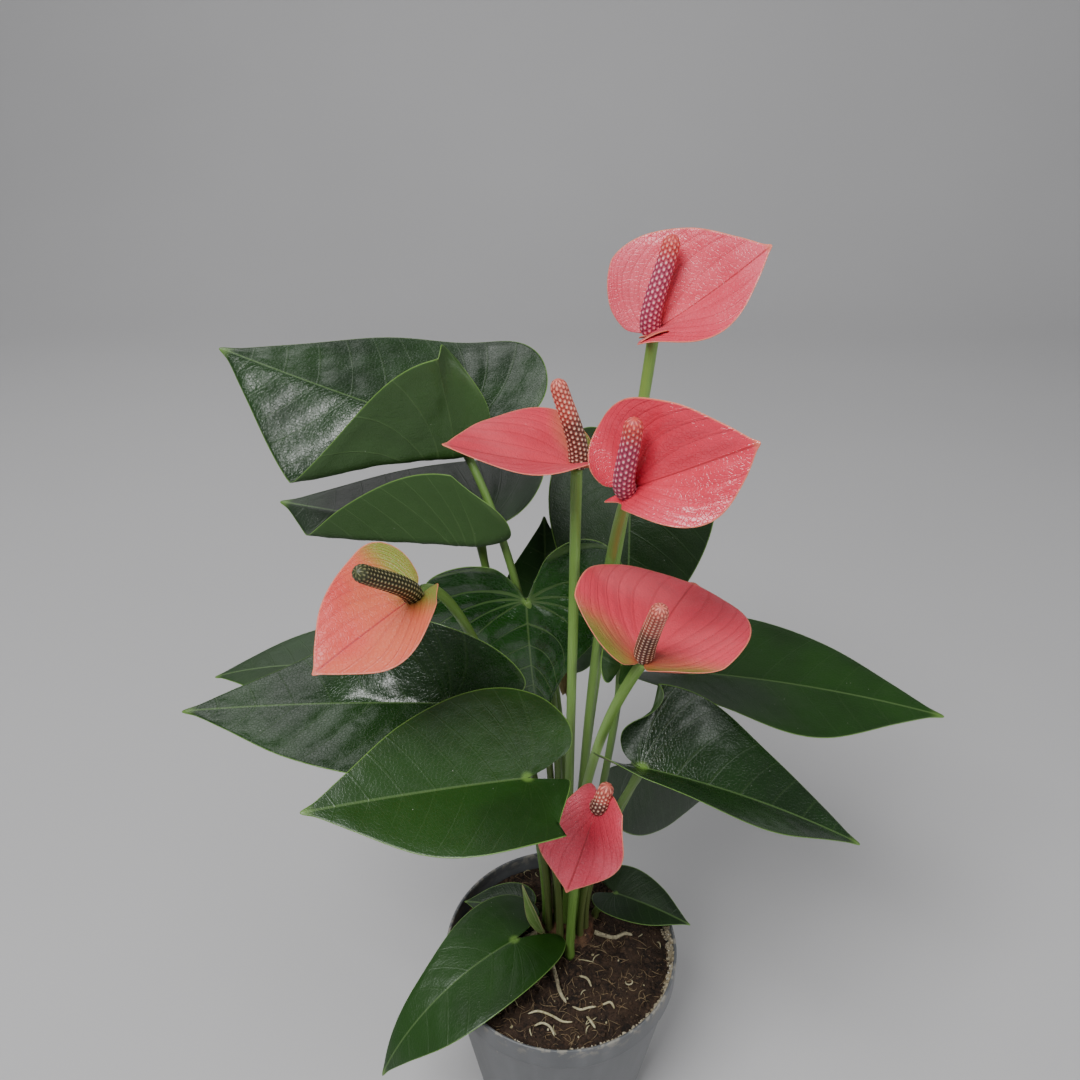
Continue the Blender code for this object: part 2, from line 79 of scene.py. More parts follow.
# Half of a blade's margin from its tip round the basal lobe to the notch, as shares of the
# blade's length (along) and of its half width (across).
LEAF_MARGIN = (
    (1.00, 0.00), (0.93, 0.09), (0.80, 0.30), (0.55, 0.70), (0.28, 0.95),
    (0.05, 1.00), (-0.14, 0.86), (-0.25, 0.56), (-0.24, 0.27), (-0.11, 0.09),
)
SHEATH_MARGIN = ((1.00, 0.00), (0.75, 0.45), (0.40, 1.00), (0.12, 0.80), (-0.02, 0.35))
SPATHE_MARGIN = (
    (1.00, 0.00), (0.95, 0.09), (0.83, 0.34), (0.61, 0.72), (0.32, 0.96),
    (0.06, 0.98), (-0.13, 0.80), (-0.22, 0.50), (-0.18, 0.20), (-0.08, 0.06),
)

# The pot and what stands in it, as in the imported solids.
POT_HEIGHT = 110.0
POT_LIP_RADIUS = 60.0
POT_BAND_DEPTH = 14.0
POT_BAND_STEP = 1.6
POT_FOOT_RADIUS = 44.0
POT_WALL = 1.5
POT_FLOOR = 1.8
DRAIN_HOLES = 8
DRAIN_HOLE_RADIUS = 4.0
DRAIN_CIRCLE_RADIUS = 31.0
SOIL_TOP = 103.0
SOIL_EDGE = 100.5
SOIL_LEVEL_RADIUS = 35.0
CROWN_PLACE = (3.0, 14.0)
CROWN_TOP = 109.0
CROWN_RADIUS = 14.0
CROWN_UNDERSIDE = 102.0
# How far a stem's foot stands below the crown's top.
STEM_SINK = 3.0

# Edge of the soil where it meets the pot's wall, and its flat underside on the pot's floor.
SOIL_REACH = 56.9
SOIL_SHOULDER = 97.0
SOIL_UNDERSIDE = 2.4
SOIL_UNDERSIDE_RADIUS = 42.6

PETIOLE_RADIUS = 1.8
STALK_RADIUS = 2.2

# First seed of each kind of blade, so that no two blades crumple alike.
LEAF_SEEDS = 1
FLOWER_SEEDS = 31
SHEATH_SEEDS = 61


def unit(vector: np.ndarray | Vec3) -> np.ndarray:
    """The vector at length one."""
    vector = np.asarray(vector, float)
    return vector / np.linalg.norm(vector)


def smooth(value: np.ndarray, low: float, high: float) -> np.ndarray:
    """0 below low, 1 above high, and a smooth step between."""
    t = np.clip((value - low) / (high - low), 0, 1)
    return t * t * (3 - 2 * t)


def spread(points: np.ndarray, seed: int) -> np.ndarray:
    """Smooth random values in -1..1 at points whose lattice has a step of one.

    Each lattice corner gets a hashed value, and a point mixes its eight corners by smooth steps.

    Args:
        points: (..., 3) places in lattice units.
        seed: changes the whole field.

    Returns:
        One value for each point.
    """
    cell = np.floor(points).astype(np.int64)
    part = points - cell
    part = part * part * (3 - 2 * part)
    total = np.zeros(points.shape[:-1])
    for corner in range(8):
        bits = np.array([corner & 1, corner >> 1 & 1, corner >> 2 & 1])
        at = cell + bits
        key = at[..., 0] * 374761393 + at[..., 1] * 668265263 + at[..., 2] * 2147483647 + seed * 974634777
        key = (key ^ (key >> 13)) * 1274126177 & 0x7FFFFFFF
        key = (key ^ (key >> 16)) & 0xFFFFFF
        weight = np.prod(np.where(bits, part, 1 - part), axis=-1)
        total += weight * (key / 0x7FFFFF - 1)
    return total


def rough(points: np.ndarray, seed: int, octaves: int = 3) -> np.ndarray:
    """Fractal sum of spread() fields, each with twice the detail and half the height of the last.

    Args:
        points: (..., 3) places in lattice units of the first field.
        seed: seed of the first field.
        octaves: how many fields are summed.

    Returns:
        One value for each point.
    """
    total = np.zeros(points.shape[:-1])
    for octave in range(octaves):
        total += spread(points * 2**octave, seed + octave) / 2**octave
    return total


def catmull_rom(padded: np.ndarray, index: np.ndarray, t: np.ndarray) -> np.ndarray:
    """A smooth curve through a row of values that has one more at each end.

    The value is half the sum of 2b, (c - a) t, (2a - 5b + 4c - d) t^2 and (3b - a - 3c + d) t^3,
    with a, b, c and d the four values around the span.

    Args:
        padded: the row of values or points.
        index: which span each sample lies in.
        t: how far along its span each sample lies, from 0 to 1.

    Returns:
        The value or point at each sample.
    """
    a, b, c, d = (padded[index + k] for k in range(4))
    return 0.5 * (2 * b + (c - a) * t + (2 * a - 5 * b + 4 * c - d) * t**2 + (3 * b - a - 3 * c + d) * t**3)


def station_value(x: np.ndarray, values: Four) -> np.ndarray:
    """A value along a blade: Catmull-Rom through the four values at the stations.

    Args:
        x: places along a blade, as shares of its length.
        values: the value at each station.

    Returns:
        The value at each place.
    """
    padded = np.array([2 * values[0] - values[1], *values, 2 * values[-1] - values[-2]], float)
    place = np.clip((x - FIRST_STATION) / STATION_STEP, 0, 3)
    index = np.minimum(place.astype(int), 2)
    return catmull_rom(padded, index, place - index)


def margin_line(outline: tuple[tuple[float, float], ...], half_width: float, samples: int) -> np.ndarray:
    """Margin points of a whole blade of length one, from the left notch round the tip to the right notch.

    Catmull-Rom through the outline's points, sampled evenly in each span.

    Args:
        outline: half a margin, from the tip to the notch, in shares.
        half_width: the half width as a share of the length.
        samples: points on each half.

    Returns:
        (2 * samples - 1, 2) points of the margin.
    """
    points = np.array(outline) * (1.0, half_width)
    spans = len(points) - 1
    padded = np.vstack([points[1] * (1, -1), points, 2 * points[-1] - points[-2]])
    place = np.linspace(0, spans, samples)
    index = np.minimum(place.astype(int), spans - 1)
    half = catmull_rom(padded, index, (place - index)[:, None])
    half[0] = points[0]
    return np.vstack([half[::-1], half[1:] * (1, -1)])


def bezier(start: np.ndarray, leave: np.ndarray, arrive: np.ndarray, end: np.ndarray, spans: int) -> np.ndarray:
    """Points along a cubic Bezier curve between two ends, each with its reach towards the middle.

    Args:
        start: the first end.
        leave: how far the curve reaches on from the start.
        arrive: how far it reaches back from the end.
        end: the last end.
        spans: steps along the curve.

    Returns:
        (spans + 1, 3) points.
    """
    t = np.linspace(0, 1, spans + 1)[:, None]
    first, last = start + leave, end - arrive
    return (1 - t) ** 3 * start + 3 * (1 - t) ** 2 * t * first + 3 * (1 - t) * t**2 * last + t**3 * end


def make_piece(
    name: str,
    points: np.ndarray,
    faces: list[np.ndarray],
    material: bpy.types.Material,
    attributes: dict[str, np.ndarray] | None = None,
    flat: np.ndarray | None = None,
) -> bpy.types.Object:
    """An object at the origin with its place in its mesh.

    Args:
        name: the piece's name.
        points: (n, 3) corners in millimetres.
        faces: arrays of corner numbers, one row for each face.
        material: its finish.
        attributes: named (n, 3) vectors for the material to read.
        flat: (n, 2) places on the flattened piece, for its UV map.

    Returns:
        The linked object, smooth shaded.
    """
    mesh = bpy.data.meshes.new(name)
    loops = np.concatenate([rows.ravel() for rows in faces]).astype(np.int32)
    sizes = np.concatenate([np.full(len(rows), rows.shape[1]) for rows in faces]).astype(np.int32)
    starts = np.concatenate([[0], np.cumsum(sizes)[:-1]]).astype(np.int32)
    mesh.vertices.add(len(points))
    mesh.vertices.foreach_set("co", (points * MM).astype(np.float32).ravel())
    mesh.loops.add(len(loops))
    mesh.loops.foreach_set("vertex_index", loops)
    mesh.polygons.add(len(sizes))
    mesh.polygons.foreach_set("loop_start", starts)
    mesh.polygons.foreach_set("loop_total", sizes)
    mesh.update(calc_edges=True)
    mesh.validate()
    mesh.shade_smooth()
    if flat is not None:
        layer = mesh.uv_layers.new(name="flat")
        corners = np.empty(len(mesh.loops), np.int32)
        mesh.loops.foreach_get("vertex_index", corners)
        layer.data.foreach_set("uv", flat[corners].astype(np.float32).ravel())
    for key, values in (attributes or {}).items():
        layer = mesh.attributes.new(key, "FLOAT_VECTOR", "POINT")
        layer.data.foreach_set("vector", values.astype(np.float32).ravel())
    mesh.materials.append(material)
    piece = bpy.data.objects.new(name, mesh)
    bpy.context.scene.collection.objects.link(piece)
    return piece


def declare(piece: bpy.types.Object, slot: str, *nodes: str) -> None:
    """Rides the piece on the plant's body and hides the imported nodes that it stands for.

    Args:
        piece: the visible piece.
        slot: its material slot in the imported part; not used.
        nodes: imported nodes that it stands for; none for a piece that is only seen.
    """
    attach(piece, BODY)
    if nodes:
        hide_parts(*nodes)
    LOG.info("%s: %d faces", piece.name, len(piece.data.polygons))


def grid_faces(rows: int, columns: int, closed: bool = False) -> np.ndarray:
    """Quads of a grid whose points run row by row; closed joins the last column to the first.

    Args:
        rows: rows of points.
        columns: points in each row.
        closed: whether each row is a ring.

    Returns:
        (n, 4) corner numbers.
    """
    last = columns if closed else columns - 1
    r, c = np.meshgrid(np.arange(rows - 1), np.arange(last), indexing="ij")
    n = (c + 1) % columns
    return np.stack([r * columns + c, r * columns + n, (r + 1) * columns + n, (r + 1) * columns + c], -1).reshape(-1, 4)


def pole_caps(around: int, rows: int) -> np.ndarray:
    """Triangles that close the first and last ring of a turned grid.

    Args:
        around: points on each ring.
        rows: rings in the grid; the two poles follow the grid's points.

    Returns:
        (2 * around, 3) corner numbers, facing as a grid whose rings climb.
    """
    n = np.arange(around)
    ahead = (n + 1) % around
    end = (rows - 1) * around
    poles = rows * around + np.arange(2)
    first = np.stack([np.full(around, poles[0]), ahead, n], -1)
    last = np.stack([np.full(around, poles[1]), end + n, end + ahead], -1)
    return np.vstack([first, last])


# ---------------------------------------------------------------------------------------------
# Finishes


class Weaver:
    """Short calls that add nodes to a material's or a group's tree and link them."""

    def __init__(self, tree: bpy.types.NodeTree) -> None:
        """Keeps the tree that the nodes go into."""
        self.tree = tree

    def put(self, socket: bpy.types.NodeSocket, value: object) -> None:
        """Links a socket or sets a constant.

        Args:
            socket: the input to set.
            value: a socket to link, or a constant; three numbers on a colour input are opaque.
        """
        if isinstance(value, bpy.types.NodeSocket):
            self.tree.links.new(value, socket)
        elif isinstance(value, tuple) and len(value) == 3 and socket.type == "RGBA":
            socket.default_value = (*value, 1)
        else:
            socket.default_value = value

    def node(self, kind: str, inputs: dict[str | int, object] | None = None, **settings: object) -> bpy.types.Node:
        """A node of this kind with its settings and inputs.

        Args:
            kind: the node's type.
            inputs: values or sockets by the input's name or number.
            settings: the node's own properties.

        Returns:
            The node.
        """
        made = self.tree.nodes.new(kind)
        for key, value in settings.items():
            setattr(made, key, value)
        for key, value in (inputs or {}).items():
            self.put(made.inputs[key], value)
        return made

    def math(self, operation: str, a: object, b: object = 0.0, clamp: bool = False) -> bpy.types.NodeSocket:
        """One math operation."""
        return self.node("ShaderNodeMath", {0: a, 1: b}, operation=operation, use_clamp=clamp).outputs[0]

    def ramp(
        self, value: object, low: float, high: float, start: float = 0.0, end: float = 1.0
    ) -> bpy.types.NodeSocket:
        """A smooth step of a value from start at low to end at high.

        Args:
            value: what is ramped.
            low: where the step starts.
            high: where it ends.
            start: the result at low.
            end: the result at high.

        Returns:
            The result's socket.
        """
        inputs = {0: value, 1: low, 2: high, 3: start, 4: end}
        return self.node("ShaderNodeMapRange", inputs, interpolation_type="SMOOTHSTEP").outputs[0]

    def mix(self, share: object, a: object, b: object) -> bpy.types.NodeSocket:
        """A mix of two colours.

        Args:
            share: how much of b is in the mix.
            a: the first colour.
            b: the second colour.

        Returns:
            The mixed colour's socket.
        """
        made = self.node("ShaderNodeMix", data_type="RGBA")
        self.put(made.inputs[0], share)
        self.put(made.inputs[6], a)
        self.put(made.inputs[7], b)
        return made.outputs[2]

    def noise(
        self, scale: float, detail: float = 3.0, vector: object = None, rough_share: float = 0.5
    ) -> bpy.types.NodeSocket:
        """Noise on object coordinates, or on the vector given; scale is per metre.

        Args:
            scale: cells for each metre, or for each unit of the vector.
            detail: octaves.
            vector: where it is read, if not on object coordinates.
            rough_share: height of each octave as a share of the last.

        Returns:
            The value's socket.
        """
        place = vector or self.node("ShaderNodeTexCoord").outputs["Object"]
        inputs = {"Vector": place, "Scale": scale, "Detail": detail, "Roughness": rough_share}
        return self.node("ShaderNodeTexNoise", inputs).outputs[0]

    def attribute(self, name: str) -> tuple[bpy.types.NodeSocket, ...]:
        """The three parts of a mesh's vector attribute.

        Args:
            name: the attribute's name.

        Returns:
            Three sockets.
        """
        read = self.node("ShaderNodeAttribute", attribute_name=name)
        parts = self.node("ShaderNodeSeparateXYZ", {0: read.outputs["Vector"]})
        return tuple(parts.outputs)

    def bump(self, height: object, distance: float, strength: float) -> bpy.types.NodeSocket:
        """A bump of this height; distance is in metres."""
        inputs = {"Height": height, "Distance": distance, "Strength": strength}
        return self.node("ShaderNodeBump", inputs).outputs[0]


def start_material(name: str) -> tuple[bpy.types.Material, Weaver, bpy.types.Node]:
    """A new material, its weaver and its Principled shader.

    Args:
        name: the material's name.

    Returns:
        The material, its weaver and its shader.
    """
    made = bpy.data.materials.new(name)
    made.use_nodes = True
    weaver = Weaver(made.node_tree)
    return made, weaver, made.node_tree.nodes["Principled BSDF"]


def group(
    name: str, inputs: dict[str, float], outputs: tuple[str, ...]
) -> tuple[bpy.types.NodeTree, Weaver, bpy.types.Node, bpy.types.Node]:
    """A new shader node group with float inputs at their defaults and float outputs.

    Args:
        name: the group's name.
        inputs: names and default values of its inputs.
        outputs: names of its outputs.

    Returns:
        The tree, its weaver, its input node and its output node.
    """
    tree = bpy.data.node_groups.new(name, "ShaderNodeTree")
    for key, value in inputs.items():
        socket = tree.interface.new_socket(key, in_out="INPUT", socket_type="NodeSocketFloat")
        socket.default_value = value
    for key in outputs:
        tree.interface.new_socket(key, in_out="OUTPUT", socket_type="NodeSocketFloat")
    weaver = Weaver(tree)
    return tree, weaver, weaver.node("NodeGroupInput"), weaver.node("NodeGroupOutput")


def veins_group() -> bpy.types.NodeTree:
    """Masks of a blade's veins, from its "ribs" (distance to the midrib, vein phase, millimetres
    for each phase) and "edge" (distance to the margin, side, share along) attributes.

    A side vein lies where the phase is whole; its mask is a smooth step of the distance to it.

    Returns:
        The group's tree, made once.
    """
    name = "blade_veins"
    if name in bpy.data.node_groups:
        return bpy.data.node_groups[name]
    inputs = {"Midrib": 0.6, "Vein": 0.5, "Margin": 0.6, "Net": 700.0}
    tree, w, source, sink = group(name, inputs, ("Midrib", "Veins", "Margin", "Net", "Tip", "Under", "Knob"))
    rib, phase, gauge = w.attribute("ribs")
    margin, side, along = w.attribute("edge")
    off = w.math("ABSOLUTE", w.math("SUBTRACT", w.math("FRACT", w.math("ADD", phase, 100.5)), 0.5))
    away = w.math("MULTIPLY", off, gauge)
    bend = w.noise(40, 2)
    away = w.math("ADD", away, w.math("MULTIPLY", w.math("SUBTRACT", bend, 0.5), 1.2))
    for key, distance in (("Midrib", rib), ("Veins", w.math("ABSOLUTE", away)), ("Margin", margin)):
        share = w.math("DIVIDE", distance, source.outputs[{"Veins": "Vein"}.get(key, key)])
        w.put(sink.inputs[key], w.ramp(share, 0.35, 1.0, 1.0, 0.0))
    net = w.node("ShaderNodeTexVoronoi", {"Scale": source.outputs["Net"]}, feature="DISTANCE_TO_EDGE")
    w.put(net.inputs["Vector"], w.node("ShaderNodeTexCoord").outputs["Object"])
    w.put(sink.inputs["Net"], w.ramp(net.outputs["Distance"], 0.0, 0.12, 1.0, 0.0))
    w.put(sink.inputs["Tip"], w.ramp(along, 0.93, 1.0))
    flat = w.node("ShaderNodeAttribute", attribute_name="flat").outputs["Vector"]
    reach = w.node("ShaderNodeVectorMath", {0: flat, 1: (0.5, 0.5, 0.0)}, operation="DISTANCE").outputs["Value"]
    w.put(sink.inputs["Knob"], w.ramp(reach, 0.006, 0.02, 1.0, 0.0))
    w.put(sink.inputs["Under"], side)
    return tree


def speckle_group() -> bpy.types.NodeTree:
    """Masks of broad mottling, fine grain and sparse dust specks, all on object coordinates.

    Returns:
        The group's tree, made once.
    """
    name = "mottle_and_dust"
    if name in bpy.data.node_groups:
        return bpy.data.node_groups[name]
    inputs = {"Mottle": 25.0, "Grain": 900.0, "Dust": 520.0, "Dust Share": 0.025}
    tree, w, source, sink = group(name, inputs, ("Mottle", "Grain", "Dust"))
    place = w.node("ShaderNodeTexCoord").outputs["Object"]
    mottle = w.node("ShaderNodeTexNoise", {"Vector": place, "Scale": source.outputs["Mottle"], "Detail": 4.0})
    grain = w.node("ShaderNodeTexNoise", {"Vector": place, "Scale": source.outputs["Grain"], "Detail": 2.0})
    dust = w.node("ShaderNodeTexVoronoi", {"Vector": place, "Scale": source.outputs["Dust"]})
    w.put(sink.inputs["Mottle"], w.ramp(mottle.outputs[0], 0.35, 0.65))
    w.put(sink.inputs["Grain"], grain.outputs[0])
    near = w.math("LESS_THAN", dust.outputs["Distance"], w.math("MULTIPLY", source.outputs["Dust Share"], 4.0))
    pick = w.node("ShaderNodeSeparateColor", {0: dust.outputs["Color"]}).outputs[0]
    w.put(sink.inputs["Dust"], w.math("MULTIPLY", near, w.math("LESS_THAN", pick, source.outputs["Dust Share"])))
    return tree


@dataclass(frozen=True)
class BladeFinish:
    """A waxy blade: base colours, veins, margin and gloss.

    The colour is a mottled mix of deep and light, with veins, midrib, margin and tip laid over it,
    the underside in its own colour, and a second tint towards the basal lobes.
    """

    name: str
    deep: Color
    light: Color
    vein: Color
    margin: Color
    under: Color
    lobe: Color
    lobe_reach: tuple[float, float] = (0.0, 0.0)
    vein_share: float = 0.3
    net_share: float = 0.0
    midrib_width: float = 0.8
    vein_width: float = 0.7
    margin_width: float = 0.7
    roughness: float = 0.3
    wrinkle: float = 0.5
    coat: float = 0.0

    def build(self) -> bpy.types.Material:
        """The material, made once for each finish.

        Returns:
            The material.
        """
        if self.name in bpy.data.materials:
            return bpy.data.materials[self.name]
        made, w, shader = start_material(self.name)
        inputs = {"Midrib": self.midrib_width, "Vein": self.vein_width, "Margin": self.margin_width}
        veins = w.node("ShaderNodeGroup", node_tree=veins_group())
        for key, value in inputs.items():
            veins.inputs[key].default_value = value
        dirt = w.node("ShaderNodeGroup", node_tree=speckle_group())
        out = veins.outputs
        color = w.mix(dirt.outputs["Mottle"], self.deep, self.light)
        if self.lobe_reach[1] > 0:
            _, _, along = w.attribute("edge")
            wavy = w.math("ADD", along, w.math("MULTIPLY", w.math("SUBTRACT", w.noise(30), 0.5), 0.25))
            lobes = w.ramp(wavy, *self.lobe_reach, 1.0, 0.0)
            color = w.mix(lobes, color, self.lobe)
        color = w.mix(w.math("MULTIPLY", out["Net"], self.net_share), color, self.vein)
        color = w.mix(w.math("MULTIPLY", out["Veins"], self.vein_share), color, self.vein)
        color = w.mix(w.math("MULTIPLY", out["Midrib"], 0.75), color, self.vein)
        under = w.mix(w.math("MULTIPLY", out["Veins"], 0.35), self.under, self.vein)
        under = w.mix(w.math("MULTIPLY", out["Midrib"], 0.7), under, self.vein)
        color = w.mix(out["Under"], color, under)
        color = w.mix(w.math("MULTIPLY", w.math("MAXIMUM", out["Tip"], out["Knob"]), 0.8), color, self.margin)
        color = w.mix(w.math("MULTIPLY", out["Margin"], 0.85), color, self.margin)
        color = w.mix(w.math("MULTIPLY", dirt.outputs["Dust"], 0.5), color, (0.5, 0.5, 0.45))
        w.put(shader.inputs["Base Color"], color)
        uneven = w.math("ADD", w.math("MULTIPLY", dirt.outputs["Grain"], 0.12), self.roughness - 0.06)
        w.put(shader.inputs["Roughness"], w.math("ADD", uneven, w.math("MULTIPLY", out["Under"], 0.22), clamp=True))
        shader.inputs["Coat Weight"].default_value = self.coat
        shader.inputs["Coat Roughness"].default_value = 0.12
        coarse = w.noise(160, 3, rough_share=0.6)
        height = w.math("ADD", w.math("MULTIPLY", coarse, 0.7), w.math("MULTIPLY", dirt.outputs["Grain"], 0.12))
        height = w.math("SUBTRACT", height, w.math("MULTIPLY", out["Net"], 0.12))
        height = w.math("SUBTRACT", height, w.math("MULTIPLY", out["Veins"], 0.25))
        w.put(shader.inputs["Normal"], w.bump(height, 0.0009, self.wrinkle))
        return made


@dataclass(frozen=True)
class StemFinish:
    """A smooth stem, streaked lengthways, whose "stem" attribute gives the share along and round."""

    name: str
    low: Color
    high: Color
    streak: Color
    roughness: float = 0.42

    def build(self) -> bpy.types.Material:
        """The material, made once for each finish.

        Returns:
            The material.
        """
        if self.name in bpy.data.materials:
            return bpy.data.materials[self.name]
        made, w, shader = start_material(self.name)
        along, turn, _ = w.attribute("stem")
        place = w.node("ShaderNodeCombineXYZ", {0: w.math("MULTIPLY", along, 3.0), 1: w.math("MULTIPLY", turn, 9.0)})
        streaks = w.noise(2.2, 3, place.outputs[0])
        dirt = w.node("ShaderNodeGroup", node_tree=speckle_group())
        color = w.mix(w.ramp(along, 0.0, 0.75), self.low, self.high)
        color = w.mix(w.ramp(streaks, 0.45, 0.75, 0.0, 0.6), color, self.streak)
        color = w.mix(w.math("MULTIPLY", dirt.outputs["Mottle"], 0.25), color, self.low)
        w.put(shader.inputs["Base Color"], color)
        uneven = w.math("MULTIPLY", dirt.outputs["Grain"], 0.2)
        w.put(shader.inputs["Roughness"], w.math("ADD", uneven, self.roughness - 0.1))
        w.put(shader.inputs["Normal"], w.bump(streaks, 0.0004, 0.6))
        return made


@dataclass(frozen=True)
class SpadixFinish:
    """A flower spike: florets in one colour, pale dots on each, a tip colour, and painted shade between florets.

    The "floret" attribute gives the dot mask, the height of the floret and the share along.
    """

    name: str
    body: Color
    groove_shade: Color
    dot: Color
    tip: Color
    tip_from: float = 0.75

    def build(self) -> bpy.types.Material:
        """The material, made once for each finish.

        Returns:
            The material.
        """
        if self.name in bpy.data.materials:
            return bpy.data.materials[self.name]
        made, w, shader = start_material(self.name)
        dot, lift, along = w.attribute("floret")
        # Painted shade: where a floret's height is low, in the grooves between florets, the colour goes to the darker
        # groove shade; the tip colour darkens there too.
        color = w.mix(w.ramp(lift, 0.15, 0.75), self.groove_shade, self.body)
        tip = w.mix(w.ramp(lift, 0.1, 0.7, 0.35, 1.0), self.groove_shade, self.tip)
        color = w.mix(w.ramp(along, self.tip_from, self.tip_from + 0.2), color, tip)
        color = w.mix(w.math("MULTIPLY", dot, w.ramp(along, 0.8, 1.0, 1.0, 0.3)), color, self.dot)
        w.put(shader.inputs["Base Color"], color)
        shader.inputs["Roughness"].default_value = 0.5
        w.put(shader.inputs["Normal"], w.bump(w.noise(3000, 2), 0.0001, 0.5))
        return made


@dataclass(frozen=True)
class EarthFinish:
    """A crumbly or fibrous matter: three mottled colours, pale specks and a rough bump."""

    name: str
    dark: Color
    middle: Color
    light: Color
    scale: float = 300.0
    speck: Color = (0.42, 0.34, 0.2)
    speck_share: float = 0.03
    roughness: float = 0.85
    height: float = 0.002

    def build(self) -> bpy.types.Material:
        """The material, made once for each finish.

        Returns:
            The material.
        """
        if self.name in bpy.data.materials:
            return bpy.data.materials[self.name]
        made, w, shader = start_material(self.name)
        dirt = w.node("ShaderNodeGroup", node_tree=speckle_group())
        dirt.inputs["Mottle"].default_value = self.scale / 4
        dirt.inputs["Grain"].default_value = self.scale * 3
        dirt.inputs["Dust"].default_value = self.scale * 1.6
        dirt.inputs["Dust Share"].default_value = self.speck_share
        fine = w.noise(self.scale, 5, rough_share=0.7)
        color = w.mix(w.ramp(fine, 0.4, 0.62), self.dark, self.middle)
        color = w.mix(w.math("MULTIPLY", dirt.outputs["Mottle"], 0.5), color, self.light)
        color = w.mix(dirt.outputs["Dust"], color, self.speck)
        w.put(shader.inputs["Base Color"], color)
        uneven = w.math("MULTIPLY", dirt.outputs["Grain"], 0.2)
        w.put(shader.inputs["Roughness"], w.math("ADD", uneven, self.roughness - 0.1, clamp=True))
        w.put(shader.inputs["Normal"], w.bump(fine, self.height, 0.9))
        return made


@dataclass(frozen=True)
class PotFinish:
    """Moulded grey plastic: satin, with faint upright streaks, scuffs, dust and a dry mineral film by the lip."""

    name: str = "pot_plastic"
    body: Color = (0.095, 0.1, 0.106)
    light: Color = (0.135, 0.14, 0.147)
    film: Color = (0.4, 0.37, 0.3)

    def build(self) -> bpy.types.Material:
        """The material.

        Returns:
            The material.
        """
        made, w, shader = start_material(self.name)
        place = w.node("ShaderNodeTexCoord").outputs["Object"]
        upright = w.node("ShaderNodeMapping", {0: place, 3: (1.0, 1.0, 0.08)}).outputs[0]
        streaks = w.noise(90, 3, upright)
        dirt = w.node("ShaderNodeGroup", node_tree=speckle_group())
        dirt.inputs["Mottle"].default_value = 18.0
        dirt.inputs["Dust"].default_value = 250.0
        dirt.inputs["Dust Share"].default_value = 0.04
        color = w.mix(w.ramp(streaks, 0.35, 0.7), self.body, self.light)
        color = w.mix(w.math("MULTIPLY", dirt.outputs["Mottle"], 0.25), color, self.light)
        height = w.node("ShaderNodeSeparateXYZ", {0: place}).outputs[2]
        film = w.math("MULTIPLY", w.ramp(height, 0.1, 0.111), w.ramp(w.noise(260, 4), 0.5, 0.62))
        color = w.mix(w.math("MULTIPLY", film, 0.5), color, self.film)
        color = w.mix(w.math("MULTIPLY", dirt.outputs["Dust"], 0.4), color, self.film)
        w.put(shader.inputs["Base Color"], color)
        uneven = w.math("ADD", w.math("MULTIPLY", streaks, 0.18), 0.33)
        w.put(shader.inputs["Roughness"], w.math("ADD", uneven, w.math("MULTIPLY", film, 0.3), clamp=True))
        lines = w.math("ADD", w.math("MULTIPLY", streaks, 0.6), w.math("MULTIPLY", dirt.outputs["Grain"], 0.25))
        w.put(shader.inputs["Normal"], w.bump(lines, 0.0004, 0.5))
        return made


# ---------------------------------------------------------------------------------------------
# Blades


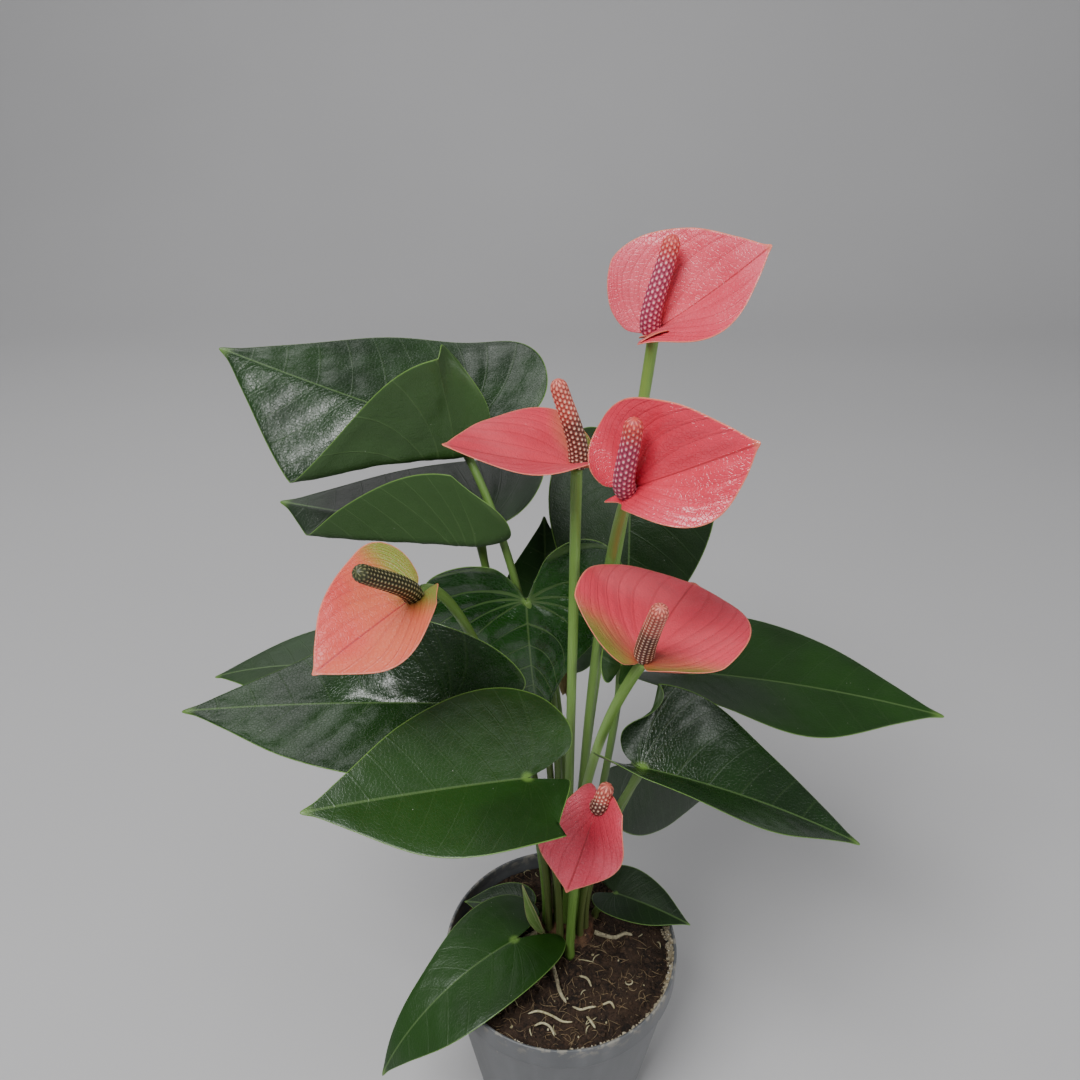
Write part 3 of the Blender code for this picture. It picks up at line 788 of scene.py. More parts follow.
@dataclass(frozen=True)
class BladeForm:
    """The form of one blade: places in millimetres, angles in degrees at the four stations.

    A flat blade of length one has its junction at the origin and its tip on +x; +y is its left
    when its upper face is seen with the tip up.
    """

    base: Vec3
    tip: Vec3
    face: Vec3
    half_width: float = 0.37
    fold_left: Four = (18, 17, 11, 10)
    fold_right: Four = (18, 17, 11, 10)
    curl_left: Four = (0, 0, 0, 0)
    droop: float = 30.0
    lobe_left: float = 0.0
    lobe_right: float = 0.0
    share_left: Four = (1, 1, 1, 1)
    share_right: Four = (1, 1, 1, 1)
    turn_at: Four = (0.1, 0.1, 0.1, 0.1)
    turn_width: float = 0.12
    ripple: float = 0.0
    ripples: float = 3.0
    crease: float = 0.02

    def bend(self, flat: np.ndarray) -> np.ndarray:
        """Local points (chord forward, left, up) of flat points.

        Each half folds up from the midrib by its station angle; the left one turns on by its curl
        around a given reach, its slope summed in short steps. A soft crease rounds the midrib,
        ripples lift the margin, the midrib droops along an arc and the basal lobes lift along
        another.

        Args:
            flat: (..., 2) flat points.

        Returns:
            (..., 3) points of a blade of length one.
        """
        x, y = flat[..., 0], flat[..., 1]
        left = y > 0
        share = np.where(left, station_value(x, self.share_left), station_value(x, self.share_right))
        reach = np.abs(y) * share
        fold = np.radians(np.where(left, station_value(x, self.fold_left), station_value(x, self.fold_right)))
        curl = np.radians(np.where(left, station_value(x, self.curl_left), 0))
        steps = reach[..., None] * (np.arange(CURL_STEPS) + 0.5) / CURL_STEPS
        start = station_value(x, self.turn_at)[..., None] - self.turn_width / 2
        angle = fold[..., None] + curl[..., None] * smooth(steps, start, start + self.turn_width)
        soft = np.where(reach > 0, (np.sqrt(reach**2 + self.crease**2) - self.crease) / np.maximum(reach, 1e-9), 0)
        across = reach * np.cos(angle).mean(-1) * np.where(left, 1, -1)
        lift = reach * np.sin(angle).mean(-1) * soft
        wave = self.ripples * 2 * math.pi * x + np.where(left, 0, 2.1)
        lift = lift + self.ripple * (reach / self.half_width) ** 3 * np.sin(wave)
        droop = -math.radians(self.droop)
        lobes = np.radians(np.where(left, self.lobe_left, self.lobe_right)) * 4
        bent = np.where(x > 0, droop, lobes)
        turn = bent * x
        forward = x * np.sinc(turn / 2 / np.pi)
        return np.stack(
            [
                forward * np.cos(turn / 2) - lift * np.sin(turn),
                across,
                forward * np.sin(turn / 2) + lift * np.cos(turn),
            ],
            -1,
        )

    def axes(self) -> tuple[np.ndarray, float, float, float]:
        """The world axes (forward, left, up) as rows, the scale, and the chord's cosine and sine.

        Returns:
            The three axes as rows, the scale, the cosine and the sine.
        """
        base, tip = np.array(self.base, float), np.array(self.tip, float)
        end = self.bend(np.array([1.0, 0.0]))
        span = math.hypot(end[0], end[2])
        forward = unit(tip - base)
        face = np.array(self.face, float)
        up = unit(face - face @ forward * forward)
        rows = np.stack([forward, np.cross(up, forward), up])
        return rows, float(np.linalg.norm(tip - base)) / span, end[0] / span, end[2] / span

    def place(self, flat: np.ndarray) -> np.ndarray:
        """World points in millimetres of flat points: the chord from junction to tip sets size and direction.

        Args:
            flat: (..., 2) flat points.

        Returns:
            (..., 3) points in millimetres.
        """
        rows, size, c, s = self.axes()
        local = self.bend(flat)
        turned = np.stack(
            [local[..., 0] * c + local[..., 2] * s, local[..., 1], -local[..., 0] * s + local[..., 2] * c], -1
        )
        return np.array(self.base, float) + size * turned @ rows

    def normals(self, flat: np.ndarray) -> np.ndarray:
        """Unit normals of the upper face, from central differences of place().

        Args:
            flat: (..., 2) flat points.

        Returns:
            (..., 3) unit vectors.
        """
        e = 2e-3
        along = self.place(flat + (e, 0)) - self.place(flat - (e, 0))
        across = self.place(flat + (0, e)) - self.place(flat - (0, e))
        normal = np.cross(along, across)
        return normal / np.maximum(np.linalg.norm(normal, axis=-1, keepdims=True), 1e-12)

    def junction_normal(self) -> np.ndarray:
        """The direction that the upper face looks at the junction."""
        return self.normals(np.zeros((1, 2)))[0]


class VeinPlan(Enum):
    """How side veins run: off the midrib as on a leaf, or fanned from the junction as on a spathe."""

    PINNATE = "pinnate"
    FANNED = "fanned"


@dataclass(frozen=True)
class BladeSkin:
    """What lies on a blade's form: thickness, quilting between veins, and the mesh's fineness."""

    outline: tuple[tuple[float, float], ...]
    veins: VeinPlan
    finish: BladeFinish
    quilt: float = 0.3
    crumple: float = 0.15
    thickness: float = 0.7
    rim: float = 0.3
    rib: float = 0.5
    half_rays: int = 90
    rings: int = 44


def vein_field(flat: np.ndarray, share: np.ndarray, length: float, plan: VeinPlan) -> tuple[np.ndarray, np.ndarray]:
    """Phase of the side veins and millimetres for each phase.

    Pinnate: a vein leaves the midrib at x0 and runs out along x = x0 + 0.45 |y| + 0.9 y^2; the
    phase is x0 times the number of veins. Behind the first vein they radiate from the junction,
    with the phase as x0 over the distance from it.
    Fanned: a vein leaves the junction at an angle and turns forward with the share of the way to
    the margin to the power 1.6.

    Args:
        flat: (..., 2) flat points of a blade of length one.
        share: share of the way from the junction to the margin.
        length: the blade's length in millimetres.
        plan: how the side veins run.

    Returns:
        The phase and the millimetres for each phase at every point.
    """
    x, y = flat[..., 0], np.abs(flat[..., 1])
    away = np.maximum(np.hypot(x, y), 1e-6)
    if plan is VeinPlan.PINNATE:
        start = x - 0.45 * y - 0.9 * y**2
        count, lobe_count = 7.0, 3.4
        phase = np.where(start > 0, start * count, start / away * lobe_count)
        gauge = np.where(start > 0, length / count, length * away / lobe_count)
        return phase, gauge
    angle = np.arctan2(y, x)
    step = math.radians(25)
    turn = 1 - 0.62 * np.clip(share, 0, 1) ** 1.6
    return angle / (step * turn), length * away * step * turn


@dataclass
class Blade:
    """One blade piece: rays from the junction to the margin crossed by rings, in an upper and a lower skin."""

    name: str
    form: BladeForm
    skin: BladeSkin
    slot: str
    node: str
    seed: int = 0

    def build(self) -> bpy.types.Object:
        """Builds the blade.

        Ring t of a ray lies at t times its margin point. The two skins stand off the middle
        surface by the local half thickness, which falls to the rim's at the margin. The panels
        between the veins bulge by the quilt height, and a fractal field crumples both skins. The
        midrib is a shallow groove in the upper skin and a ridge on the lower one.

        Returns:
            The blade's object.
        """
        skin, form = self.skin, self.form
        margin = margin_line(skin.outline, form.half_width, skin.half_rays)
        rays = len(margin)
        steps = np.linspace(0, 1, skin.rings + 1)[1:] ** 0.9
        flat = steps[:, None, None] * margin
        share = np.broadcast_to(steps[:, None], flat.shape[:2])
        middle, normal = form.place(flat), form.normals(flat)
        length = form.axes()[1]
        phase, gauge = vein_field(flat, share, length, skin.veins)
        x, y = flat[..., 0], np.abs(flat[..., 1])
        rib = np.where(x > 0, y, np.hypot(x, y)) * length
        edge = (1 - share) * np.hypot(*np.moveaxis(margin, -1, 0)) * length
        off = np.abs(np.mod(phase + 0.5, 1) - 0.5) * 2
        fade = smooth(edge, 0, 6) * smooth(rib, 0, 5) * np.clip(gauge / 10, 0, 1)
        bulge = skin.quilt * fade * (np.sqrt(off) - 0.5)
        field_at = np.concatenate([flat * length / 9, np.full((*flat.shape[:2], 1), self.seed * 3.7)], -1)
        bulge = bulge + skin.crumple * rough(field_at, self.seed + 5) * smooth(edge, 0, 4) * smooth(rib, 0, 4)
        taper = np.clip(1 - x, 0, 1)
        groove = np.exp(-((rib / 0.8) ** 2)) * np.where(x > 0, taper, 1)
        half = skin.rim / 2 + (skin.thickness - skin.rim) / 2 * smooth(edge, 0, 5)
        top = middle + normal * (bulge + half - 0.25 * skin.rib * groove)[..., None]
        ridge = np.exp(-((rib / 1.1) ** 2)) * np.where(x > 0, taper, 1)
        low = middle + normal * (bulge - half - skin.rib * 1.5 * ridge)[..., None]
        centre = np.array(form.base, float)
        up = form.junction_normal()
        outward = unit_rows(middle[-1] - middle[-2])
        rim_out = outward * skin.rim * 0.4 + middle[-1] + normal[-1] * bulge[-1][:, None]
        points = np.vstack(
            [
                centre + up * half[0, 0],
                top.reshape(-1, 3),
                centre - up * (half[0, 0] + skin.rib),
                low.reshape(-1, 3),
                rim_out,
            ]
        )
        ribs = np.stack([rib, phase, gauge], -1).reshape(-1, 3)
        first = np.array([[0.0, 0.5, 0.1]])
        rim_ribs = np.stack([rib[-1], phase[-1], gauge[-1]], -1)
        edges = [np.stack([edge, np.full_like(edge, side), x], -1).reshape(-1, 3) for side in (0.0, 1.0)]
        rim_edge = np.stack([np.zeros(rays), np.full(rays, 0.5), x[-1]], -1)
        plain = flat.reshape(-1, 2) * 0.5 + 0.5
        attributes = {
            "ribs": np.vstack([first, ribs, first, ribs, rim_ribs]),
            "edge": np.vstack([[[30, 0, 0]], edges[0], [[30, 1, 0]], edges[1], rim_edge]),
        }
        half_way = np.array([[0.5, 0.5]])
        uv = np.vstack([half_way, plain, half_way, plain, margin * 0.5 + 0.5])
        piece = make_piece(self.name, points, self.faces(rays), skin.finish.build(), attributes, uv)
        declare(piece, self.slot, self.node)
        return piece

    def faces(self, rays: int) -> list[np.ndarray]:
        """The faces of the two skins, the walls of the notch and the rounded rim.

        The points run in this order: the upper middle, the upper skin ring by ring, the lower
        middle, the lower skin, and the rim.

        Args:
            rays: points on each ring.

        Returns:
            The quads and the triangles.
        """
        rings = self.skin.rings
        count = rays * rings
        upper, lower, rim = 1, count + 2, 2 * count + 2
        quads = grid_faces(rings, rays)
        last = (rings - 1) * rays
        ray = np.arange(rays - 1)
        ring = np.arange(rings - 1)
        sides = []
        for at, turn in ((0, 1), (rays - 1, -1)):
            a, b = upper + ring * rays + at, lower + ring * rays + at
            quad = np.stack([a, a + rays, b + rays, b], -1)
            sides.append(quad[:, ::turn])
        edge_top = np.stack([upper + last + ray, rim + ray, rim + ray + 1, upper + last + ray + 1], -1)
        edge_low = np.stack([lower + last + ray + 1, rim + ray + 1, rim + ray, lower + last + ray], -1)
        fans = [
            np.stack([np.zeros_like(ray), upper + ray, upper + ray + 1], -1),
            np.stack([np.full_like(ray, count + 1), lower + ray + 1, lower + ray], -1),
            np.array([[0, count + 1, lower], [0, lower, upper]]),
            np.array([[0, upper + rays - 1, lower + rays - 1], [0, lower + rays - 1, count + 1]]),
            np.array(
                [[upper + last, lower + last, rim], [upper + last + rays - 1, rim + rays - 1, lower + last + rays - 1]]
            ),
        ]
        return [
            np.vstack([quads[:, ::-1] + upper, quads + lower, sides[0], sides[1], edge_top, edge_low]),
            np.vstack(fans),
        ]


def unit_rows(rows: np.ndarray) -> np.ndarray:
    """Each row at length one."""
    return rows / np.maximum(np.linalg.norm(rows, axis=-1, keepdims=True), 1e-12)


# ---------------------------------------------------------------------------------------------
# Tubes


def tube_frames(line: np.ndarray) -> tuple[np.ndarray, np.ndarray]:
    """Two unit vectors across each point of a line, carried along it without twist.

    Each step turns the last pair by the projection onto the plane across the new direction.

    Args:
        line: (n, 3) points of the line.

    Returns:
        Two (n, 3) arrays of unit vectors.
    """
    direction = unit_rows(np.gradient(line, axis=0))
    first = np.empty_like(line)
    start = np.cross(direction[0], (0.3, 1.0, 0.2))
    for index, ahead in enumerate(direction):
        start = start - start @ ahead * ahead
        start = start / np.linalg.norm(start)
        first[index] = start
    return first, np.cross(direction, first)


def tube(line: np.ndarray, radii: np.ndarray, around: int) -> tuple[np.ndarray, list[np.ndarray], np.ndarray]:
    """A closed tube along a line.

    Args:
        line: (n, 3) middle line.
        radii: (n,) or (n, around) radii.
        around: points on each ring.

    Returns:
        Points, faces, and for each point its share along and round.
    """
    first, second = tube_frames(line)
    turn = np.arange(around) / around * 2 * math.pi
    radii = np.broadcast_to(radii.reshape(len(line), -1), (len(line), around))
    ring = np.cos(turn)[None, :, None] * first[:, None] + np.sin(turn)[None, :, None] * second[:, None]
    points = (line[:, None] + ring * radii[..., None]).reshape(-1, 3)
    points = np.vstack([points, line[0], line[-1]])
    quads = grid_faces(len(line), around, closed=True)
    caps = pole_caps(around, len(line))
    along = np.repeat(np.linspace(0, 1, len(line)), around)
    round_share = np.tile(np.abs(np.arange(around) / around * 2 - 1), len(line))
    shares = np.stack([along, round_share, np.zeros_like(along)], -1)
    return points, [quads, caps], np.vstack([shares, [[0, 0, 0]], [[1, 0, 0]]])


class Ring(Enum):
    """Where a stem stands: its distance in millimetres from the crown's middle."""

    CENTRE = 0.0
    INNER = 5.1
    OUTER = 10.3
    SOIL = 17.5


@dataclass(frozen=True)
class StemRoute:
    """Where a stem stands, and its last stretch up to the blade."""

    ring: Ring
    angle: float
    last: Vec3

    def start(self) -> np.ndarray:
        """The foot's middle.

        Returns:
            The place in millimetres.
        """
        turn = math.radians(self.angle)
        level = SOIL_TOP if self.ring is Ring.SOIL else CROWN_TOP - STEM_SINK
        x, y = CROWN_PLACE
        return np.array([x + self.ring.value * math.cos(turn), y + self.ring.value * math.sin(turn), level])

    def line(self, form: BladeForm, spans: int) -> np.ndarray:
        """The middle line: straight up from the foot, then along its last stretch to the junction.

        Args:
            form: the blade that the stem carries.
            spans: steps along the line.

        Returns:
            (spans + 1, 3) points.
        """
        start = self.start()
        end = np.array(form.base, float) - form.junction_normal() * 0.8
        rise = np.array([0, 0, 0.45 * (end[2] - start[2])])
        return bezier(start, rise, np.array(self.last, float), end, spans)


@dataclass
class Stem:
    """A petiole or a flower stalk."""

    name: str
    route: StemRoute
    form: BladeForm
    radius: float
    finish: StemFinish
    slot: str
    joint: float = 0.0
    foot_swell: float = 0.25
    foot_reach: float = 7.0
    waist: float = 0.06
    ridge: float = 0.03
    ridges: int = 3
    spans: int = 90
    around: int = 20

    def build(self) -> bpy.types.Object:
        """A tube whose radius swells at the foot, where it sheathes the crown, and, on a petiole,
        at the joint just below the blade. It has a faint waist and low ridges lengthways.

        Returns:
            The stem's object.
        """
        line = self.route.line(self.form, self.spans)
        run = np.concatenate([[0], np.cumsum(np.linalg.norm(np.diff(line, axis=0), axis=1))])
        left = run[-1] - run
        foot = self.foot_swell * np.exp(-run / self.foot_reach)
        radius = self.radius * (1 + foot + self.joint * smooth(left, 16, 6) * smooth(left, 0, 3))
        radius = radius * (1 - self.waist * np.sin(run / run[-1] * math.pi))
        turn = np.arange(self.around) / self.around * 2 * math.pi
        ridged = radius[:, None] * (1 + self.ridge * np.cos(self.ridges * turn)[None])
        points, faces, shares = tube(line, ridged, self.around)
        piece = make_piece(self.name, points, faces, self.finish.build(), {"stem": shares})
        declare(piece, self.slot, self.name)
        return piece


# ---------------------------------------------------------------------------------------------
# Flowers


@dataclass
class Spadix:
    """The spike on a spathe, covered with florets in slanting rows."""

    name: str
    form: BladeForm
    tip: Vec3
    finish: SpadixFinish
    floret: float = 2.0
    columns: int = 14
    radius: float = 3.9
    taper: float = 0.22
    relief: float = 0.1
    cell_reach: float = 0.54
    dot_reach: tuple[float, float] = (0.13, 0.27)
    samples: int = 10

    def build(self) -> bpy.types.Object:
        """A tube along a curve. Each floret is a raised cell of a lattice that climbs half a cell
        for each column. A cell's height is one less the square of the distance to its middle over
        its reach, and the radius swells by the relief times the square root of that height.

        Returns:
            The spadix's object.
        """
        normal = self.form.junction_normal()
        start = np.array(self.form.base, float)
        tip = np.array(self.tip, float)
        rows = round(np.linalg.norm(tip - start) / self.floret)
        line = bezier(start, normal * 9, unit(tip - start) * 12, tip, rows * self.samples)
        share = np.linspace(0, 1, len(line))
        foot = 0.72 + 0.28 * smooth(share, 0, 0.12)
        point = np.sqrt(np.clip(1 - np.clip((share - 0.9) / 0.1, 0, 1) ** 2, 0.0004, 1))
        body = self.radius * foot * (1 - self.taper * share) * point
        around = self.columns * self.samples
        turn = np.arange(around) / around * self.columns
        row = share[:, None] * rows + 0.5 * turn[None]
        u = np.mod(turn[None] + np.zeros_like(row), 1) - 0.5
        v = np.mod(row, 1) - 0.5
        away = np.sqrt(0.85 * u**2 + (v - 0.5 * u) ** 2)
        lift = np.clip(1 - (away / self.cell_reach) ** 2, 0, 1)
        dot = 1 - smooth(away, *self.dot_reach)
        radii = body[:, None] * (1 + self.relief * np.sqrt(lift) - self.relief / 2)
        points, faces, _ = tube(line, radii, around)
        along = np.broadcast_to(share[:, None], lift.shape)
        # The floret height also sets the painted shade that the finish lays in the grooves between florets.
        values = np.stack([dot, lift, along], -1).reshape(-1, 3)
        values = np.vstack([values, [[0, 0, 0]], [[0, 1, 1]]])
        piece = make_piece(self.name, points, faces, self.finish.build(), {"floret": values})
        declare(piece, "spadix", self.name)
        return piece


GREEN_VEIN = (0.075, 0.14, 0.04)
GREEN_MARGIN = (0.13, 0.25, 0.045)


def leaf_finish(
    name: str, deep: Color, light: Color, roughness: float, wrinkle: float, vein_share: float, coat: float = 0.0
) -> BladeFinish:
    """A leaf's finish from what differs between leaves.

    Args:
        name: the finish's name.
        deep: the darker base colour.
        light: the lighter base colour.
        roughness: how dull the upper face is.
        wrinkle: strength of the fine bump.
        vein_share: how clearly side veins show in the colour.
        coat: weight of the clear wax coat.

    Returns:
        The finish.
    """
    return BladeFinish(
        name, deep, light, GREEN_VEIN, GREEN_MARGIN, (0.028, 0.075, 0.013), (0, 0, 0),
        roughness=roughness, wrinkle=wrinkle, vein_share=vein_share, net_share=0.05,
        midrib_width=0.7, vein_width=0.6, margin_width=0.45, coat=coat,
    )


GLOSSY_LEAF = leaf_finish("leaf_glossy", (0.0035, 0.019, 0.002), (0.007, 0.035, 0.003), 0.27, 0.5, 0.12, 0.15)
LIVELY_LEAF = leaf_finish("leaf_lively", (0.006, 0.036, 0.004), (0.012, 0.068, 0.006), 0.22, 0.6, 0.7, 0.3)
SATIN_LEAF = leaf_finish("leaf_satin", (0.007, 0.033, 0.002), (0.011, 0.050, 0.003), 0.38, 0.3, 0.05)
DARK_LEAF = leaf_finish("leaf_dark", (0.0035, 0.016, 0.002), (0.007, 0.029, 0.003), 0.4, 0.35, 0.06)
YOUNG_LEAF = leaf_finish("leaf_young_finish", (0.012, 0.045, 0.007), (0.018, 0.065, 0.009), 0.36, 0.35, 0.2)

PETIOLE_GREEN = StemFinish("petiole_green", (0.10, 0.12, 0.035), (0.11, 0.22, 0.04), (0.17, 0.28, 0.08))
STALK_GREEN = StemFinish("stalk_green", (0.12, 0.24, 0.04), (0.20, 0.36, 0.07), (0.27, 0.42, 0.13), 0.38)


# A lobe reach that leaves a spathe in one colour.
NO_LOBES = (0.0, 0.0)


def spathe_finish(name: str, deep: Color, light: Color, lobe_reach: tuple[float, float], **more: float) -> BladeFinish:
    """A spathe's finish from what differs between spathes.

    Args:
        name: the finish's name.
        deep: the darker base colour.
        light: the lighter base colour.
        lobe_reach: shares along between which the green of the lobes fades out.
        more: other settings of the finish.

    Returns:
        The finish.
    """
    settings = {"roughness": 0.28, "wrinkle": 0.6, "vein_share": 0.2, "net_share": 0.12, **more}
    return BladeFinish(
        name, deep, light, (0.42, 0.02, 0.03), (0.78, 0.22, 0.14), (0.6, 0.14, 0.09), (0.2, 0.26, 0.035),
        lobe_reach=lobe_reach, midrib_width=0.5, vein_width=0.8, margin_width=0.5, **settings,
    )


PINK_SPATHE = spathe_finish("spathe_pink", (0.72, 0.055, 0.095), (0.86, 0.13, 0.18), NO_LOBES)
ROSE_SPATHE = spathe_finish("spathe_rose", (0.70, 0.04, 0.075), (0.82, 0.085, 0.13), NO_LOBES, roughness=0.22)
GREENED_SPATHE = spathe_finish("spathe_greened", (0.66, 0.045, 0.075), (0.78, 0.09, 0.12), (-0.2, 0.12), roughness=0.34)
PEACH_SPATHE = spathe_finish("spathe_peach", (0.74, 0.07, 0.065), (0.72, 0.145, 0.07), (-0.12, 0.2), roughness=0.4)

# Spadix finishes: body colour, painted shade for the grooves between florets, dot and tip colours, and where the tip
# begins.
PURPLE_SPADIX = SpadixFinish(
    "spadix_purple", (0.5, 0.06, 0.13), (0.28, 0.03, 0.07), (0.85, 0.5, 0.5), (0.7, 0.07, 0.04), 0.7,
)
BROWN_SPADIX = SpadixFinish(
    "spadix_brown", (0.24, 0.075, 0.05), (0.1, 0.025, 0.02), (0.9, 0.68, 0.5), (0.72, 0.15, 0.11), 0.5,
)
OLIVE_SPADIX = SpadixFinish(
    "spadix_olive", (0.05, 0.05, 0.012), (0.018, 0.018, 0.006), (0.5, 0.46, 0.24), (0.06, 0.07, 0.02), 0.85,
)


@dataclass
class Leaf:
    """A leaf: its blade and its petiole."""

    name: str
    form: BladeForm
    route: StemRoute
    finish: BladeFinish = SATIN_LEAF
    quilt: float = 0.3
    crumple: float = 0.15
    detail: float = 1.0

    def build(self, seed: int) -> None:
        """Builds both pieces.

        Args:
            seed: seed of the blade's crumpling.
        """
        skin = BladeSkin(
            LEAF_MARGIN, VeinPlan.PINNATE, self.finish, self.quilt, self.crumple,
            half_rays=int(90 * self.detail), rings=int(46 * self.detail),
        )
        Blade(f"{self.name}_blade", self.form, skin, "leaf_blade", f"{self.name}_blade", seed).build()
        Stem(
            f"{self.name}_petiole", self.route, self.form, PETIOLE_RADIUS, PETIOLE_GREEN, "petiole", joint=0.22
        ).build()


@dataclass
class Flower:
    """A flower: its spathe, spadix and stalk."""

    name: str
    form: BladeForm
    spadix_tip: Vec3
    route: StemRoute
    finish: BladeFinish
    spadix: SpadixFinish
    quilt: float = 0.6
    crumple: float = 0.25

    def build(self, seed: int) -> None:
        """Builds the three pieces.

        Args:
            seed: seed of the spathe's crumpling.
        """
        skin = BladeSkin(SPATHE_MARGIN, VeinPlan.FANNED, self.finish, self.quilt, self.crumple, rib=0.35)
        Blade(f"{self.name}_spathe", self.form, skin, "spathe", f"{self.name}_spathe", seed).build()
        Spadix(f"{self.name}_spadix", self.form, self.spadix_tip, self.spadix).build()
        Stem(f"{self.name}_stalk", self.route, self.form, STALK_RADIUS, STALK_GREEN, "flower_stalk").build()


LEAVES = (
    Leaf("leaf_top_left", BladeForm(
        base=(-47, 56, 376), tip=(-159, 106, 395), face=(-0.1, -0.1, 1), half_width=0.5,
        share_left=(1.25, 1.06, 0.97, 1), turn_at=(0.02, 0.19, 0.41, 0.5), fold_left=(-40, -38, -36, -36),
        curl_left=(130, 130, 130, 130), fold_right=(18, 8, 3, 5), droop=-4, lobe_left=40, lobe_right=20,
        ripple=0.02, ripples=1.6,
    ), StemRoute(Ring.OUTER, 122, (-32, 43, 38)), GLOSSY_LEAF, 0.5, 0.3),
    Leaf("leaf_second_left", BladeForm(
        base=(-38, 40, 337), tip=(-136, 86, 325), face=(-0.1, -0.1, 1), half_width=0.45,
        turn_at=(0.08, 0.1, 0.13, 0.16), fold_left=(-30, -30, -30, -30),
        curl_left=(125, 125, 120, 110), fold_right=(10, 5, 5, 8), droop=-5, lobe_left=40, lobe_right=40,
    ), StemRoute(Ring.OUTER, 156, (-8, 6, 60)), DARK_LEAF),
    Leaf("leaf_back", BladeForm(
        base=(32, 87, 337), tip=(31, 56, 255), face=(0, -1, 0.3), half_width=0.46,
        droop=20, lobe_left=-20, lobe_right=-20,
    ), StemRoute(Ring.OUTER, 70, (0, -38, 12)), DARK_LEAF),
    Leaf("leaf_mid_left", BladeForm(
        base=(-50, -5, 277), tip=(-168, 0, 268), face=(0, -0.1, 1), half_width=0.37,
        fold_left=(5, 5, 5, 5), fold_right=(74, 51, 2, 2), share_right=(0.72, 0.87, 1, 1), droop=8, lobe_right=-10,
    ), StemRoute(Ring.OUTER, 206, (-30, -8, 40)), GLOSSY_LEAF, 0.6, 0.4, 1.15),
    Leaf("leaf_under_left", BladeForm(
        base=(-98, 45, 256), tip=(-171, 50, 246), face=(0, 0, 1), half_width=0.45,
        fold_right=(2, 1, -2, -3), droop=25, lobe_right=-10,
    ), StemRoute(Ring.OUTER, 96, (-60, 0, 25)), SATIN_LEAF, detail=0.7),
    Leaf("leaf_centre", BladeForm(
        base=(-17, 23, 311), tip=(-10, 19, 237), face=(-0.25, -1, 0.1), half_width=0.66,
        share_left=(1, 0.95, 0.4, 0.3), fold_left=(-38, -32, -22, -10), fold_right=(5, 0, -7, -5), droop=20,
        lobe_left=30, lobe_right=30,
    ), StemRoute(Ring.INNER, 175, (-18, -6, 50)), LIVELY_LEAF, 0.9, 0.4),
    Leaf("leaf_young", BladeForm(
        base=(-7, 67, 256), tip=(-9, 77, 322), face=(-0.1, -1, 0.1), half_width=0.4, droop=10,
    ), StemRoute(Ring.INNER, 85, (-9, 10, 50)), YOUNG_LEAF, detail=0.7),
    Leaf("leaf_front", BladeForm(
        base=(-16, -50, 278), tip=(-97, -80, 291), face=(0, -0.5, 1), half_width=0.42,
        fold_left=(34, 32, 14, 8), fold_right=(12, 12, 10, 10), droop=12, lobe_left=80, lobe_right=10,
    ), StemRoute(Ring.OUTER, 250, (-2, -25, 45)), SATIN_LEAF, 0.25, 0.2, 1.1),
    Leaf("leaf_right_high", BladeForm(
        base=(62, 44, 254), tip=(177, 19, 248), face=(0, -0.1, 1), half_width=0.37,
        fold_left=(0, 0, 0, 0), fold_right=(40, 27, 2, 2), droop=15,
    ), StemRoute(Ring.OUTER, 12, (12, 5, 48)), SATIN_LEAF),
    Leaf("leaf_right_low", BladeForm(
        base=(32, -25, 259), tip=(125, -40, 229), face=(0, -0.1, 1), half_width=0.38,
        fold_left=(45, 30, 5, 5), fold_right=(50, 42, 30, 30), droop=20, lobe_left=90, lobe_right=20,
    ), StemRoute(Ring.OUTER, 312, (10, -8, 40)), GLOSSY_LEAF, 0.3, 0.2),
    Leaf("leaf_shaded", BladeForm(
        base=(40, 58, 180), tip=(84, 80, 131), face=(0.3, -1, 0.6), half_width=0.5, droop=20,
    ), StemRoute(Ring.OUTER, 42, (12, 18, 40)), DARK_LEAF, detail=0.7),
    Leaf("leaf_over_rim", BladeForm(
        base=(-24, -8, 122), tip=(-89, -52, 77), face=(-0.3, -0.3, 1), half_width=0.33,
        fold_left=(5, 5, 5, 5), fold_right=(0, 0, 0, 0), share_left=(0.7, 0.85, 1, 1),
        share_right=(1, 0.8, 0.6, 0.8), droop=75, lobe_left=-20, lobe_right=-20,
    ), StemRoute(Ring.SOIL, 218, (-6, -4, 8)), SATIN_LEAF),
    Leaf("leaf_rim_right", BladeForm(
        base=(30, 24, 118), tip=(68, 7, 114), face=(0, -0.2, 1), half_width=0.38, droop=20,
    ), StemRoute(Ring.SOIL, 25, (7, 2, 6)), DARK_LEAF, detail=0.6),
    Leaf("leaf_on_soil", BladeForm(
        base=(-22, 19, 112), tip=(-52, 25, 110), face=(0, -0.2, 1), half_width=0.42, droop=15,
    ), StemRoute(Ring.SOIL, 165, (-3, 0, 5)), DARK_LEAF, detail=0.5),
    Leaf("leaf_behind", BladeForm(
        base=(24, 2, 293), tip=(40, 45, 304), face=(-0.2, -0.4, 1), half_width=0.25,
        fold_left=(50, 44, 16, 10), fold_right=(50, 44, 16, 10), droop=10,
    ), StemRoute(Ring.OUTER, 342, (2, 0, 60)), YOUNG_LEAF, detail=0.6),
)

